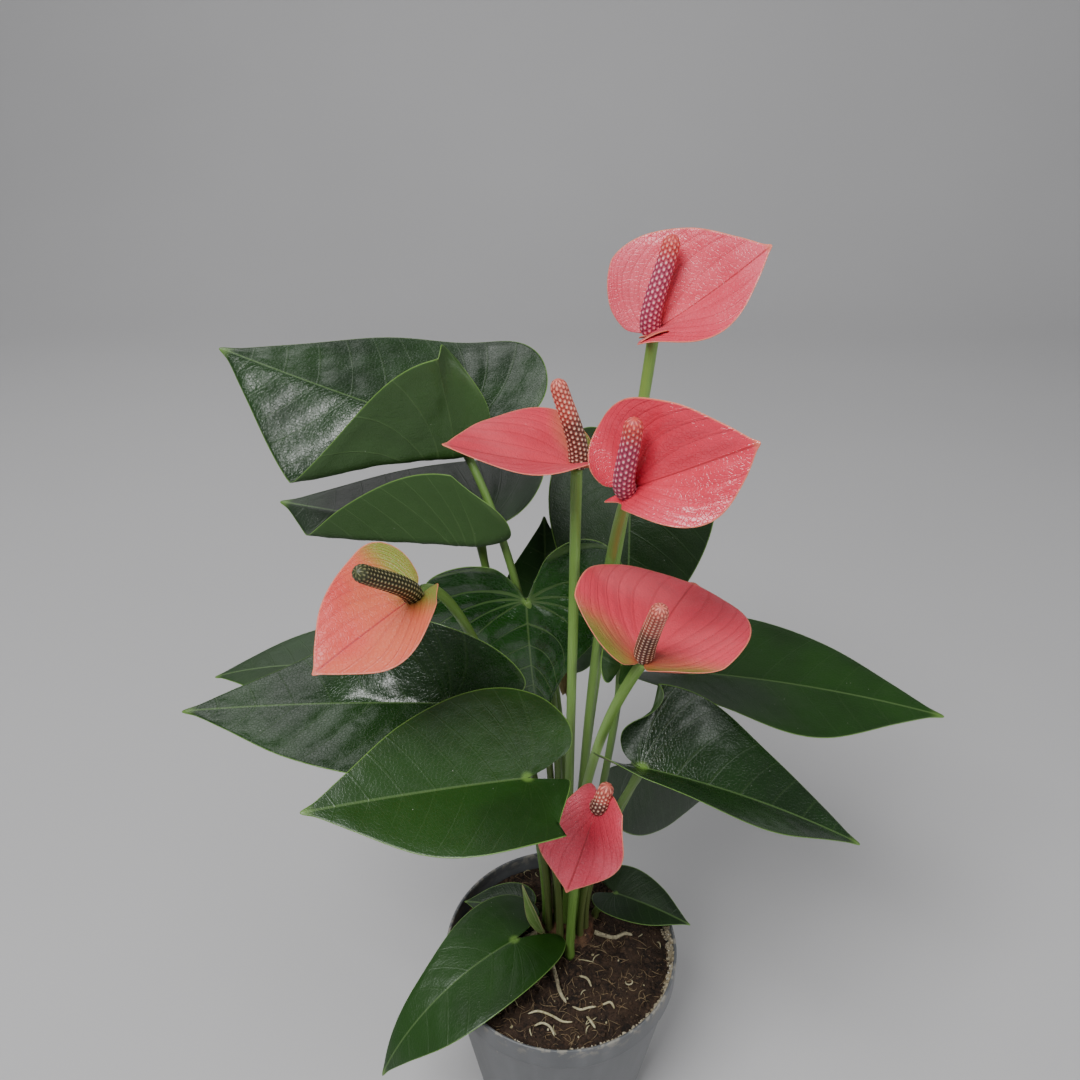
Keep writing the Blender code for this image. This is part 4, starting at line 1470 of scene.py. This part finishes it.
FLOWERS = (
    Flower("flower_top", BladeForm(
        base=(30, 15, 436), tip=(67, 5, 470), face=(-0.2, -0.6, 0.8), half_width=0.62,
        fold_left=(33, 30, 22, 15), fold_right=(60, 51, 20, 10), share_right=(1, 1, 0.85, 0.8), droop=-15,
        lobe_left=20, lobe_right=90,
    ), (35, 15, 471), StemRoute(Ring.INNER, 40, (6, -8, 90)), PINK_SPATHE, PURPLE_SPADIX),
    Flower("flower_upper_left", BladeForm(
        base=(3, 0, 389), tip=(-45, -20, 408), face=(-0.1, -0.1, 1), half_width=0.52,
        fold_left=(35, 31, 14, 10), fold_right=(25, 23, 12, 10), droop=-10, lobe_left=40, lobe_right=60,
    ), (-5, 0, 424), StemRoute(Ring.CENTRE, 0, (0, 2, 80)), GREENED_SPATHE, BROWN_SPADIX),
    Flower("flower_upper_right", BladeForm(
        base=(20, -32, 397), tip=(58, -51, 424), face=(0.1, -0.9, 0.5), half_width=0.6,
        share_left=(0.8, 0.95, 1, 1), share_right=(0.1, 0.5, 0.85, 1), fold_left=(0, 0, 10, 10),
        fold_right=(60, 60, 28, 10), droop=20, lobe_left=90, lobe_right=90,
    ), (19, -42, 428), StemRoute(Ring.INNER, 335, (3, -58, 50)), ROSE_SPATHE, PURPLE_SPADIX, 0.8, 0.4),
    Flower("flower_right", BladeForm(
        base=(27, -45, 333), tip=(53, 9, 330), face=(-0.1, -0.2, 1), half_width=0.62,
        fold_left=(42, 39, 28, 25), share_right=(0.8, 0.9, 1, 1), fold_right=(14, 12, 8, 5), droop=20,
        lobe_left=20, lobe_right=60,
    ), (29, -64, 370), StemRoute(Ring.OUTER, 282, (16, -24, 56)), GREENED_SPATHE, BROWN_SPADIX),
    Flower("flower_left", BladeForm(
        base=(-57, -36, 354), tip=(-89, -66, 343), face=(-0.5, -0.8, 0.4), half_width=0.55,
        fold_left=(50, 42, 22, 15), fold_right=(0, 2, 8, 10), droop=10, lobe_left=20, lobe_right=10,
        share_left=(0.35, 0.9, 1.1, 1), share_right=(1.5, 1.1, 1, 1),
    ), (-70, -65, 385), StemRoute(Ring.OUTER, 179, (-5, -80, 24)), PEACH_SPATHE, OLIVE_SPADIX),
    Flower("flower_low", BladeForm(
        base=(13, -35, 247), tip=(0, -55, 217), face=(0.1, -0.9, 0.4), half_width=0.55,
        fold_left=(75, 68, 32, 10), fold_right=(10, 10, 10, 10), share_right=(0.4, 0.8, 1.2, 1),
        droop=20, lobe_left=20, lobe_right=-60,
    ), (17, -38, 262), StemRoute(Ring.SOIL, 275, (4, -22, 45)), PINK_SPATHE, BROWN_SPADIX, 0.4, 0.2),
)

SHEATHS = {
    "sheath_dry": BladeForm(
        base=(1, 31, 252), tip=(3, 33, 290), face=(-0.3, -1, 0.3), half_width=0.13,
        fold_left=(55, 53, 42, 40), fold_right=(55, 53, 42, 40), droop=0,
    ),
    "sheath_green": BladeForm(
        base=(-9, 4, 112), tip=(-20, 6, 147), face=(-0.5, -1, 0.3), half_width=0.12,
        fold_left=(45, 43, 32, 30), fold_right=(45, 43, 32, 30), droop=15,
    ),
}
DRY_SHEATH = BladeFinish(
    "sheath_papery", (0.3, 0.24, 0.1), (0.42, 0.34, 0.17), (0.25, 0.16, 0.08), (0.45, 0.33, 0.2),
    (0.35, 0.28, 0.14), (0, 0, 0), roughness=0.7, wrinkle=0.6,
)
GREEN_SHEATH = BladeFinish(
    "sheath_fresh", (0.12, 0.22, 0.05), (0.2, 0.3, 0.09), (0.3, 0.38, 0.16), (0.35, 0.3, 0.15),
    (0.14, 0.24, 0.06), (0, 0, 0), roughness=0.5, wrinkle=0.4,
)

ROOTS = {
    "root_front": ((-4, -3, 108), (-5, -9, 107.5), (-3, -17, 106), (-1, -25, 104.6), (2, -31, 104.6)),
    "root_left": ((-13, 8, 107), (-18, 5, 107), (-23, 3, 105.5), (-29, 4, 104.6), (-34, 2, 104.6)),
    "root_right": ((18, 8, 107), (23, 6, 107), (29, 6, 105.5), (34, 9, 104.6), (38, 8, 104.6)),
}
ROOT_FINISH = EarthFinish(
    "root_skin", (0.2, 0.17, 0.11), (0.4, 0.35, 0.22), (0.5, 0.46, 0.3), 500, (0.12, 0.08, 0.05), 0.1, 0.75, 0.0006
)


def spline(places: tuple[Vec3, ...] | np.ndarray, spans: int) -> np.ndarray:
    """Catmull-Rom through the places, with this many spans in all.

    Args:
        places: (n, 3) places that the curve goes through.
        spans: steps along the whole curve.

    Returns:
        (spans + 1, 3) points.
    """
    points = np.array(places, float)
    padded = np.vstack([2 * points[0] - points[1], points, 2 * points[-1] - points[-2]])
    place = np.linspace(0, len(points) - 1, spans + 1)
    index = np.minimum(place.astype(int), len(points) - 2)
    return catmull_rom(padded, index, (place - index)[:, None])


@dataclass
class AerialRoot:
    """A pale root from the crown's side down to the soil."""

    name: str
    places: tuple[Vec3, ...]
    radius: float = 1.2

    def build(self) -> bpy.types.Object:
        """A tube along the spline through its places, lumpy by a fractal field and thinner to its end.

        Returns:
            The root's object.
        """
        line = spline(self.places, 70)
        share = np.linspace(0, 1, len(line))
        around = 16
        turn = np.arange(around) / around * 2 * math.pi
        at = np.stack(np.broadcast_arrays(share[:, None] * 14, np.cos(turn)[None], np.sin(turn)[None]), -1)
        radii = self.radius * (1 - 0.35 * share)[:, None] * (1 + 0.16 * rough(at, len(self.name)))
        radii = radii * np.where(share > 0.97, 0.6, 1)[:, None]
        points, faces, shares = tube(line, radii, around)
        piece = make_piece(self.name, points, faces, ROOT_FINISH.build(), {"stem": shares})
        declare(piece, "aerial_root", self.name)
        return piece


# ---------------------------------------------------------------------------------------------
# Pot, soil and crown


@dataclass
class Pot:
    """The tapered nursery pot: a turned shell with drain holes in its floor."""

    around: int = 192
    line_depth: float = 12.0

    def wall(self, height: float) -> float:
        """The outer radius of the tapered wall below the band."""
        top = POT_LIP_RADIUS - POT_BAND_STEP
        return POT_FOOT_RADIUS + (top - POT_FOOT_RADIUS) * height / (POT_HEIGHT - POT_BAND_DEPTH)

    def profile(self) -> np.ndarray:
        """The (radius, height) points from the floor's middle inside, over the lip and down to the foot.

        Returns:
            (n, 2) points.
        """
        band = POT_HEIGHT - POT_BAND_DEPTH
        inside = POT_LIP_RADIUS - POT_WALL
        lip = [
            (POT_LIP_RADIUS - POT_WALL / 2 - POT_WALL / 2 * math.cos(a), POT_HEIGHT - 0.75 + 0.75 * math.sin(a))
            for a in np.linspace(0, math.pi, 9)
        ]
        line = POT_HEIGHT - self.line_depth
        ridge = [(POT_LIP_RADIUS, line + 1), (POT_LIP_RADIUS - 0.1, line)]
        steps = [
            (0, POT_FLOOR),
            (self.wall(POT_FLOOR) - POT_WALL - 1, POT_FLOOR),
            (self.wall(2.8) - POT_WALL, POT_FLOOR + 1),
            *[(self.wall(h) - POT_WALL, h) for h in np.linspace(8, band - 0.6, 10)],
            (inside - 0.4, band + 0.9), (inside, band + POT_BAND_STEP), (inside, POT_HEIGHT - 4),
            *lip,
            (POT_LIP_RADIUS, POT_HEIGHT - 3), *ridge, (POT_LIP_RADIUS, band + 0.5),
            (POT_LIP_RADIUS - 0.25, band), (POT_LIP_RADIUS - 1.2, band - 0.5), (self.wall(band - 1.6), band - 1.6),
            *[(self.wall(h), h) for h in np.linspace(band - 6, 4, 12)],
            (self.wall(2.2), 2.2), (self.wall(1) - 0.3, 0.9),
            (POT_FOOT_RADIUS - 1.2, 0.1), (POT_FOOT_RADIUS - 2, 0), (0, 0),
        ]
        return np.array(steps, float)

    def build(self) -> bpy.types.Object:
        """Turns the profile, with its two end points as poles, and cuts the ring of drain holes.

        Returns:
            The pot's object.
        """
        profile = self.profile()
        turn = np.arange(self.around) / self.around * 2 * math.pi
        rim = profile[1:-1]
        points = np.stack(
            np.broadcast_arrays(rim[:, 0, None] * np.cos(turn), rim[:, 0, None] * np.sin(turn), rim[:, 1, None]), -1
        ).reshape(-1, 3)
        points = np.vstack([points, [0, 0, profile[0, 1]], [0, 0, 0]])
        caps = pole_caps(self.around, len(rim))[:, [0, 2, 1]]
        faces = [grid_faces(len(rim), self.around, closed=True)[:, ::-1], caps]
        pot = make_piece("pot_shell", points, faces, PotFinish().build())
        self.cut_drains(pot)
        pot.data.set_sharp_from_angle(angle=math.radians(50))
        declare(pot, "pot", "pot")
        return pot

    def cut_drains(self, pot: bpy.types.Object) -> None:
        """Takes a ring of round holes out of the floor with one cutter mesh, and applies the cut.

        Args:
            pot: the turned shell, which gets the cut mesh.
        """
        around = 32
        turn = np.arange(around) / around * 2 * math.pi
        ring = np.stack([np.cos(turn), np.sin(turn)], -1) * DRAIN_HOLE_RADIUS
        places, faces = [], []
        for hole in range(DRAIN_HOLES):
            angle = 2 * math.pi * hole / DRAIN_HOLES
            middle = np.array([math.cos(angle), math.sin(angle)]) * DRAIN_CIRCLE_RADIUS
            start = hole * 2 * around
            for height in (-3.0, 6.0):
                places.append(np.column_stack([ring + middle, np.full(around, height)]))
            faces.append(grid_faces(2, around, closed=True) + start)
            faces.append(np.arange(around)[None, ::-1] + start)
            faces.append(np.arange(around)[None] + start + around)
        cutter = make_piece("drain_cutter", np.vstack(places), faces, pot.data.materials[0])
        cut = pot.modifiers.new("Drain holes", "BOOLEAN")
        cut.operation = "DIFFERENCE"
        cut.solver = "EXACT"
        cut.object = cutter
        graph = bpy.context.evaluated_depsgraph_get()
        done = bpy.data.meshes.new_from_object(pot.evaluated_get(graph))
        pot.modifiers.clear()
        pot.data = done
        bpy.data.objects.remove(cutter, do_unlink=True)


SOIL_FINISH = EarthFinish(
    "potting_soil", (0.014, 0.008, 0.005), (0.045, 0.023, 0.013), (0.09, 0.05, 0.028),
    420, (0.3, 0.22, 0.12), 0.05, 0.9, 0.003,
)
CRUMB_FINISH = EarthFinish(
    "soil_crumbs", (0.018, 0.01, 0.006), (0.06, 0.032, 0.018), (0.12, 0.07, 0.04),
    700, (0.2, 0.14, 0.08), 0.03, 0.9, 0.0015,
)
FIBRE_FINISH = EarthFinish(
    "coir_fibres", (0.14, 0.085, 0.04), (0.3, 0.2, 0.1), (0.42, 0.32, 0.18),
    600, (0.5, 0.42, 0.3), 0.05, 0.7, 0.0004,
)
CRUST_FINISH = EarthFinish(
    "mineral_crust", (0.24, 0.19, 0.11), (0.46, 0.39, 0.26), (0.62, 0.56, 0.42),
    500, (0.75, 0.7, 0.6), 0.12, 0.95, 0.0015,
)
PALE_ROOT_FINISH = EarthFinish(
    "root_pieces", (0.3, 0.26, 0.13), (0.52, 0.47, 0.27), (0.62, 0.58, 0.4),
    500, (0.2, 0.14, 0.08), 0.06, 0.7, 0.0005,
)


@dataclass
class Soil:
    """The potting soil with what lies on it."""

    around: int = 260
    rings: int = 110
    seed: int = 11
    rng: np.random.Generator = field(default_factory=lambda: np.random.default_rng(20))

    def level(self, x: np.ndarray, y: np.ndarray) -> np.ndarray:
        """The soil's height: flat in the middle, falling to its edge, lumpy by two fractal fields.

        Args:
            x: places across.
            y: places in depth.

        Returns:
            The height at each place.
        """
        reach = np.hypot(x, y)
        base = np.interp(reach, [0, SOIL_LEVEL_RADIUS, 57], [SOIL_TOP, SOIL_TOP, SOIL_EDGE])
        at = np.stack([x, y, np.zeros_like(x)], -1)
        lumps = 0.9 * rough(at / 7, self.seed) + 0.5 * rough(at / 2.2, self.seed + 9)
        return base + lumps * smooth(reach, 60, 50)

    def build(self) -> None:
        """Builds the soil body, crumbs, fibres, root pieces, white grains and the crust at the rim."""
        reach = np.linspace(0, 1, self.rings + 1)[1:] ** 0.75 * SOIL_REACH
        turn = np.arange(self.around) / self.around * 2 * math.pi
        x, y = reach[:, None] * np.cos(turn), reach[:, None] * np.sin(turn)
        top = np.stack([x, y, self.level(x, y)], -1)[::-1]
        edge = np.array([(SOIL_REACH, SOIL_SHOULDER), (SOIL_UNDERSIDE_RADIUS, SOIL_UNDERSIDE)])
        side = np.stack(np.broadcast_arrays(edge[:, :1] * np.cos(turn), edge[:, :1] * np.sin(turn), edge[:, 1:]), -1)
        shell = np.vstack([side[::-1].reshape(-1, 3), top.reshape(-1, 3)])
        peak = self.level(np.zeros(1), np.zeros(1))[0]
        points = np.vstack([shell, [[0, 0, SOIL_UNDERSIDE]], [[0, 0, peak]]])
        rows = self.rings + 2
        faces = [grid_faces(rows, self.around, closed=True), pole_caps(self.around, rows)]
        piece = make_piece("soil_bed", points, faces, SOIL_FINISH.build())
        declare(piece, "soil", "soil")
        self.add_lumps("soil_crumbs", 1500, (0.5, 1.7), CRUMB_FINISH, self.anywhere)
        self.add_lumps("white_grains", 26, (0.5, 1.1), PALE_ROOT_FINISH, self.anywhere)
        self.add_lumps("mineral_crust", 2600, (0.4, 1.2), CRUST_FINISH, self.by_rim)
        self.add_fibres("coir_fibres", 420, (3, 11), 0.13, FIBRE_FINISH)
        self.add_fibres("root_bits", 26, (4, 11), 0.34, PALE_ROOT_FINISH)
        self.add_root_pieces()

    def anywhere(self, count: int) -> np.ndarray:
        """Places all over the soil, outside the crown.

        Args:
            count: how many places are wanted.

        Returns:
            (count, 3) places on the soil.
        """
        reach = np.sqrt(self.rng.uniform(0, 1, count * 2)) * 56
        turn = self.rng.uniform(0, 2 * math.pi, count * 2)
        x, y = reach * np.cos(turn), reach * np.sin(turn)
        free = np.hypot(x - CROWN_PLACE[0], y - CROWN_PLACE[1]) > CROWN_RADIUS
        x, y = x[free][:count], y[free][:count]
        return np.stack([x, y, self.level(x, y)], -1)

    def by_rim(self, count: int) -> np.ndarray:
        """Places on the pot's inner wall just above the soil, thickest at the front right.

        Args:
            count: how many places are wanted.

        Returns:
            (count, 3) places on the wall.
        """
        turn = np.radians(self.rng.normal(-46, 32, count))
        rise = np.abs(self.rng.normal(0, 1, count)) * 3.6
        reach = 58.3 - self.rng.uniform(0, 1, count) ** 2 * np.maximum(3.4 - rise, 0.4)
        return np.stack([reach * np.cos(turn), reach * np.sin(turn), np.minimum(100.6 + rise, 109.2)], -1)

    def add_lumps(
        self,
        name: str,
        count: int,
        sizes: tuple[float, float],
        finish: EarthFinish,
        where: Callable[[int], np.ndarray],
    ) -> None:
        """Many small lumps: each a squashed octahedron, split once, with every corner moved by its own share.

        Args:
            name: the piece's name.
            count: how many lumps.
            sizes: smallest and largest half width.
            finish: their finish.
            where: gives their places.
        """
        places = where(count)
        count = len(places)
        corners = np.array([(1, 0, 0), (-1, 0, 0), (0, 1, 0), (0, -1, 0), (0, 0, 1), (0, 0, -1)], float)
        triangles = np.array([(0, 2, 4), (2, 1, 4), (1, 3, 4), (3, 0, 4), (2, 0, 5), (1, 2, 5), (3, 1, 5), (0, 3, 5)])
        edges = np.sort(np.vstack([triangles[:, [0, 1]], triangles[:, [1, 2]], triangles[:, [2, 0]]]), axis=1)
        edges, back = np.unique(edges, axis=0, return_inverse=True)
        middle = unit_rows(corners[edges].mean(1))
        ab, bc, ca = back.reshape(3, -1) + len(corners)
        a, b, c = triangles.T
        split = np.vstack([np.stack(rows, -1) for rows in ((a, ab, ca), (b, bc, ab), (c, ca, bc), (ab, bc, ca))])
        shape = np.vstack([corners, middle])
        size = self.rng.uniform(*sizes, (count, 1, 1)) * self.rng.uniform(0.55, 1, (count, 1, 3))
        lumps = shape[None] * size * self.rng.uniform(0.75, 1.15, (count, len(shape), 1))
        angle = self.rng.uniform(0, 2 * math.pi, count)
        cos, sin = np.cos(angle)[:, None], np.sin(angle)[:, None]
        across, ahead = lumps[..., 0], lumps[..., 1]
        turned = np.stack([across * cos - ahead * sin, across * sin + ahead * cos, lumps[..., 2]], -1)
        points = (turned + places[:, None]).reshape(-1, 3)
        faces = (split[None] + (np.arange(count) * len(shape))[:, None, None]).reshape(-1, 3)
        piece = make_piece(name, points, [faces], finish.build())
        declare(piece, "soil")

    def add_fibres(
        self, name: str, count: int, lengths: tuple[float, float], radius: float, finish: EarthFinish
    ) -> None:
        """Many thin curved fibres: each a four-sided tube along a gentle arc that lies on the soil.

        Args:
            name: the piece's name.
            count: how many fibres.
            lengths: shortest and longest.
            radius: the middle radius.
            finish: their finish.
        """
        start = self.anywhere(count)
        count = len(start)
        joints, around = 8, 4
        share = np.linspace(-0.5, 0.5, joints)
        length = self.rng.uniform(*lengths, (count, 1))
        heading = self.rng.uniform(0, 2 * math.pi, (count, 1)) + share * self.rng.normal(0, 1.3, (count, 1))
        x = start[:, :1] + np.cumsum(np.cos(heading), 1) * length / joints
        y = start[:, 1:2] + np.cumsum(np.sin(heading), 1) * length / joints
        inside = np.minimum(1, 55.5 / np.maximum(np.hypot(x, y), 1e-6))
        x, y = x * inside, y * inside
        arch = self.rng.uniform(0, 1.6, (count, 1)) * (1 - (2 * share) ** 2)
        z = self.level(x, y) * 0.4 + self.level(x, y).max(1, keepdims=True) * 0.6 + arch + radius * 0.5
        z = np.minimum(z, 107)
        size = radius * self.rng.uniform(0.7, 1.4, (count, 1)) * np.sqrt(1.02 - (2 * share) ** 2)
        turn = np.arange(around) / around * 2 * math.pi + math.pi / 4
        out = np.stack([-np.sin(heading), np.cos(heading)], -1)
        side = np.cos(turn)[None, None] * size[..., None]
        points = np.stack(
            [x[..., None] + out[..., 0, None] * side, y[..., None] + out[..., 1, None] * side,
             z[..., None] + np.sin(turn)[None, None] * size[..., None]], -1
        ).reshape(-1, 3)
        per = joints * around
        quads = grid_faces(joints, around, closed=True)[:, ::-1]
        ends = np.array([[0, 1, 2, 3], [per - 1, per - 2, per - 3, per - 4]])
        one = np.vstack([quads, ends])
        faces = (one[None] + (np.arange(count) * per)[:, None, None]).reshape(-1, 4)
        declare(make_piece(name, points, [faces], finish.build()), "soil")

    def add_root_pieces(self) -> None:
        """A few thick pale root ends that lie on the soil near the front."""
        routes = (
            ((-17, -37, 104.6), (-12, -36, 105.2), (-6, -38, 105.2), (0, -41, 104.6), (5, -41, 104)),
            ((-14, -43, 103.8), (-10, -42, 104.8), (-6, -44, 104.6), (-4, -48, 103.4)),
            ((5, -33, 104.4), (9, -35, 105), (13, -34, 105), (17, -33, 104.4)),
            ((12, -38, 104), (14, -41, 104.4), (16, -44, 103.6)),
            ((20, -32, 104.2), (24, -31, 104.8), (26, -34, 104.2)),
            ((9, -16, 104.4), (13, -18, 105), (15, -22, 104.3)),
        )
        all_points, all_faces, offset = [], [[], []], 0
        for route in routes:
            line = spline(route, 26)
            share = np.linspace(-1, 1, len(line))
            radii = 0.6 * np.sqrt(np.clip(1.05 - share**4, 0.05, 1))
            points, faces, _ = tube(line, radii, 10)
            all_points.append(points)
            for kept, rows in zip(all_faces, faces):
                kept.append(rows + offset)
            offset += len(points)
        faces = [np.vstack(rows) for rows in all_faces]
        declare(make_piece("root_ends", np.vstack(all_points), faces, PALE_ROOT_FINISH.build()), "soil")


CROWN_FINISH = EarthFinish(
    "crown_bark", (0.05, 0.022, 0.012), (0.14, 0.055, 0.025), (0.2, 0.13, 0.06),
    240, (0.3, 0.2, 0.1), 0.06, 0.75, 0.002,
)


@dataclass
class Crown:
    """The short thick stem that the leaves and flowers grow from."""

    around: int = 96
    rings: int = 40

    def build(self) -> bpy.types.Object:
        """A turned knob whose side is ringed by old leaf scars and lumpy by a fractal field.

        Returns:
            The crown's object.
        """
        share = np.linspace(0, 1, self.rings)
        turn = np.arange(self.around) / self.around * 2 * math.pi
        radius = np.interp(share, [0, 0.15, 0.6, 0.8, 0.93, 1], [15, 15, 14, 12.5, 9, 4])
        height = np.interp(share, [0, 0.6, 0.8, 0.93, 1], [CROWN_UNDERSIDE, 106.5, 108.2, 108.9, CROWN_TOP])
        at = np.stack(np.broadcast_arrays(3 * np.cos(turn)[None], 3 * np.sin(turn)[None], share[:, None] * 4), -1)
        lumps = 1 + 0.07 * rough(at, 31)
        scars = 1 + 0.025 * np.sin(share * 34)[:, None]
        reach = radius[:, None] * np.minimum(lumps * scars, 1.06)
        x = CROWN_PLACE[0] + reach * np.cos(turn)
        y = CROWN_PLACE[1] + reach * np.sin(turn)
        points = np.stack([x, y, np.broadcast_to(height[:, None], x.shape)], -1).reshape(-1, 3)
        points = np.vstack([points, [[*CROWN_PLACE, CROWN_UNDERSIDE]], [[*CROWN_PLACE, CROWN_TOP]]])
        faces = [grid_faces(self.rings, self.around, closed=True), pole_caps(self.around, self.rings)]
        piece = make_piece("crown_knob", points, faces, CROWN_FINISH.build())
        declare(piece, "crown", "crown")
        return piece


# ---------------------------------------------------------------------------------------------
# Studio


@dataclass
class Studio:
    """Floor, lights, world and camera."""

    camera_place: Vec3 = (-0.011, -0.333, 0.563)
    pitch_down: float = 31.8
    lens: float = 33.33

    def build(self) -> None:
        """Builds them all."""
        self.add_floor()
        self.add_light("key", (-0.55, -0.75, 1.7), (0, 0, 0.25), 0.8, 33)
        self.add_light("window", (-0.7, 0.95, 1.15), (-0.05, 0, 0.28), 0.7, 2.8)
        self.add_light("fill", (1.3, -0.7, 0.9), (0, 0, 0.3), 1.0, 9)
        world = bpy.data.worlds.new("studio_world")
        world.use_nodes = True
        shade = world.node_tree.nodes["Background"]
        shade.inputs["Color"].default_value = (0.9, 0.92, 0.95, 1)
        shade.inputs["Strength"].default_value = 0.26
        bpy.context.scene.world = world
        data = bpy.data.cameras.new("studio_camera")
        data.lens = self.lens
        data.sensor_width = 36
        data.clip_start = 0.01
        camera = bpy.data.objects.new("studio_camera", data)
        camera.location = self.camera_place
        camera.rotation_euler = (math.radians(90 - self.pitch_down), 0, 0)
        bpy.context.scene.collection.objects.link(camera)
        bpy.context.scene.camera = camera

    def add_floor(self) -> None:
        """A pale floor that curves up into a backdrop far behind: a profile carried sideways."""
        bend = np.linspace(0, math.pi / 2, 14)
        y = np.concatenate([[-3000], [-500], 1200 + 600 * np.sin(bend), [1800]])
        z = np.concatenate([[0], [0], 600 - 600 * np.cos(bend), [3600]])
        x = np.linspace(-3500, 3500, 8)
        points = np.stack(np.broadcast_arrays(x[None], y[:, None], z[:, None] - 0.05), -1).reshape(-1, 3)
        made, w, shader = start_material("studio_floor")
        w.put(shader.inputs["Base Color"], w.mix(w.noise(3, 2), (0.5, 0.495, 0.5), (0.54, 0.535, 0.54)))
        shader.inputs["Roughness"].default_value = 0.6
        floor = make_piece("studio_floor", points, [grid_faces(len(y), len(x))], made)

    def add_light(self, name: str, place: Vec3, aim: Vec3, size: float, power: float) -> None:
        """A soft square light at a place, turned to its aim.

        Args:
            name: the light's name.
            place: where it stands, in metres.
            aim: where it points.
            size: the side of the square.
            power: its power in watts.
        """
        data = bpy.data.lights.new(name, "AREA")
        data.shape = "SQUARE"
        data.size = size
        data.energy = power
        light = bpy.data.objects.new(name, data)
        back = unit(np.array(place) - np.array(aim))
        side = unit(np.cross((0, 0, 1), back))
        matrix = np.eye(4)
        matrix[:3, 0], matrix[:3, 1], matrix[:3, 2], matrix[:3, 3] = side, np.cross(back, side), back, place
        light.matrix_world = Matrix(matrix.tolist())
        bpy.context.scene.collection.objects.link(light)


def clear_scene() -> None:
    """Removes whatever the scene holds."""
    for obj in list(bpy.data.objects):
        bpy.data.objects.remove(obj, do_unlink=True)


def main() -> None:
    """Builds the plant, piece by piece, then the studio."""
    logging.basicConfig(level=logging.INFO, format="%(name)s: %(message)s")
    clear_scene()
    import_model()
    Pot().build()
    Soil().build()
    Crown().build()
    for seed, leaf in enumerate(LEAVES):
        leaf.build(seed + LEAF_SEEDS)
    for seed, flower in enumerate(FLOWERS):
        flower.build(seed + FLOWER_SEEDS)
    for seed, (name, form) in enumerate(SHEATHS.items()):
        finish = DRY_SHEATH if name == "sheath_dry" else GREEN_SHEATH
        skin = BladeSkin(SHEATH_MARGIN, VeinPlan.FANNED, finish, 0.1, 0.3, half_rays=40, rings=20, rib=0.3)
        Blade(f"{name}_leaf", form, skin, "sheath", name, seed + SHEATH_SEEDS).build()
    for name, places in ROOTS.items():
        AerialRoot(name, places).build()
    Studio().build()


if __name__ == "__main__":
    main()
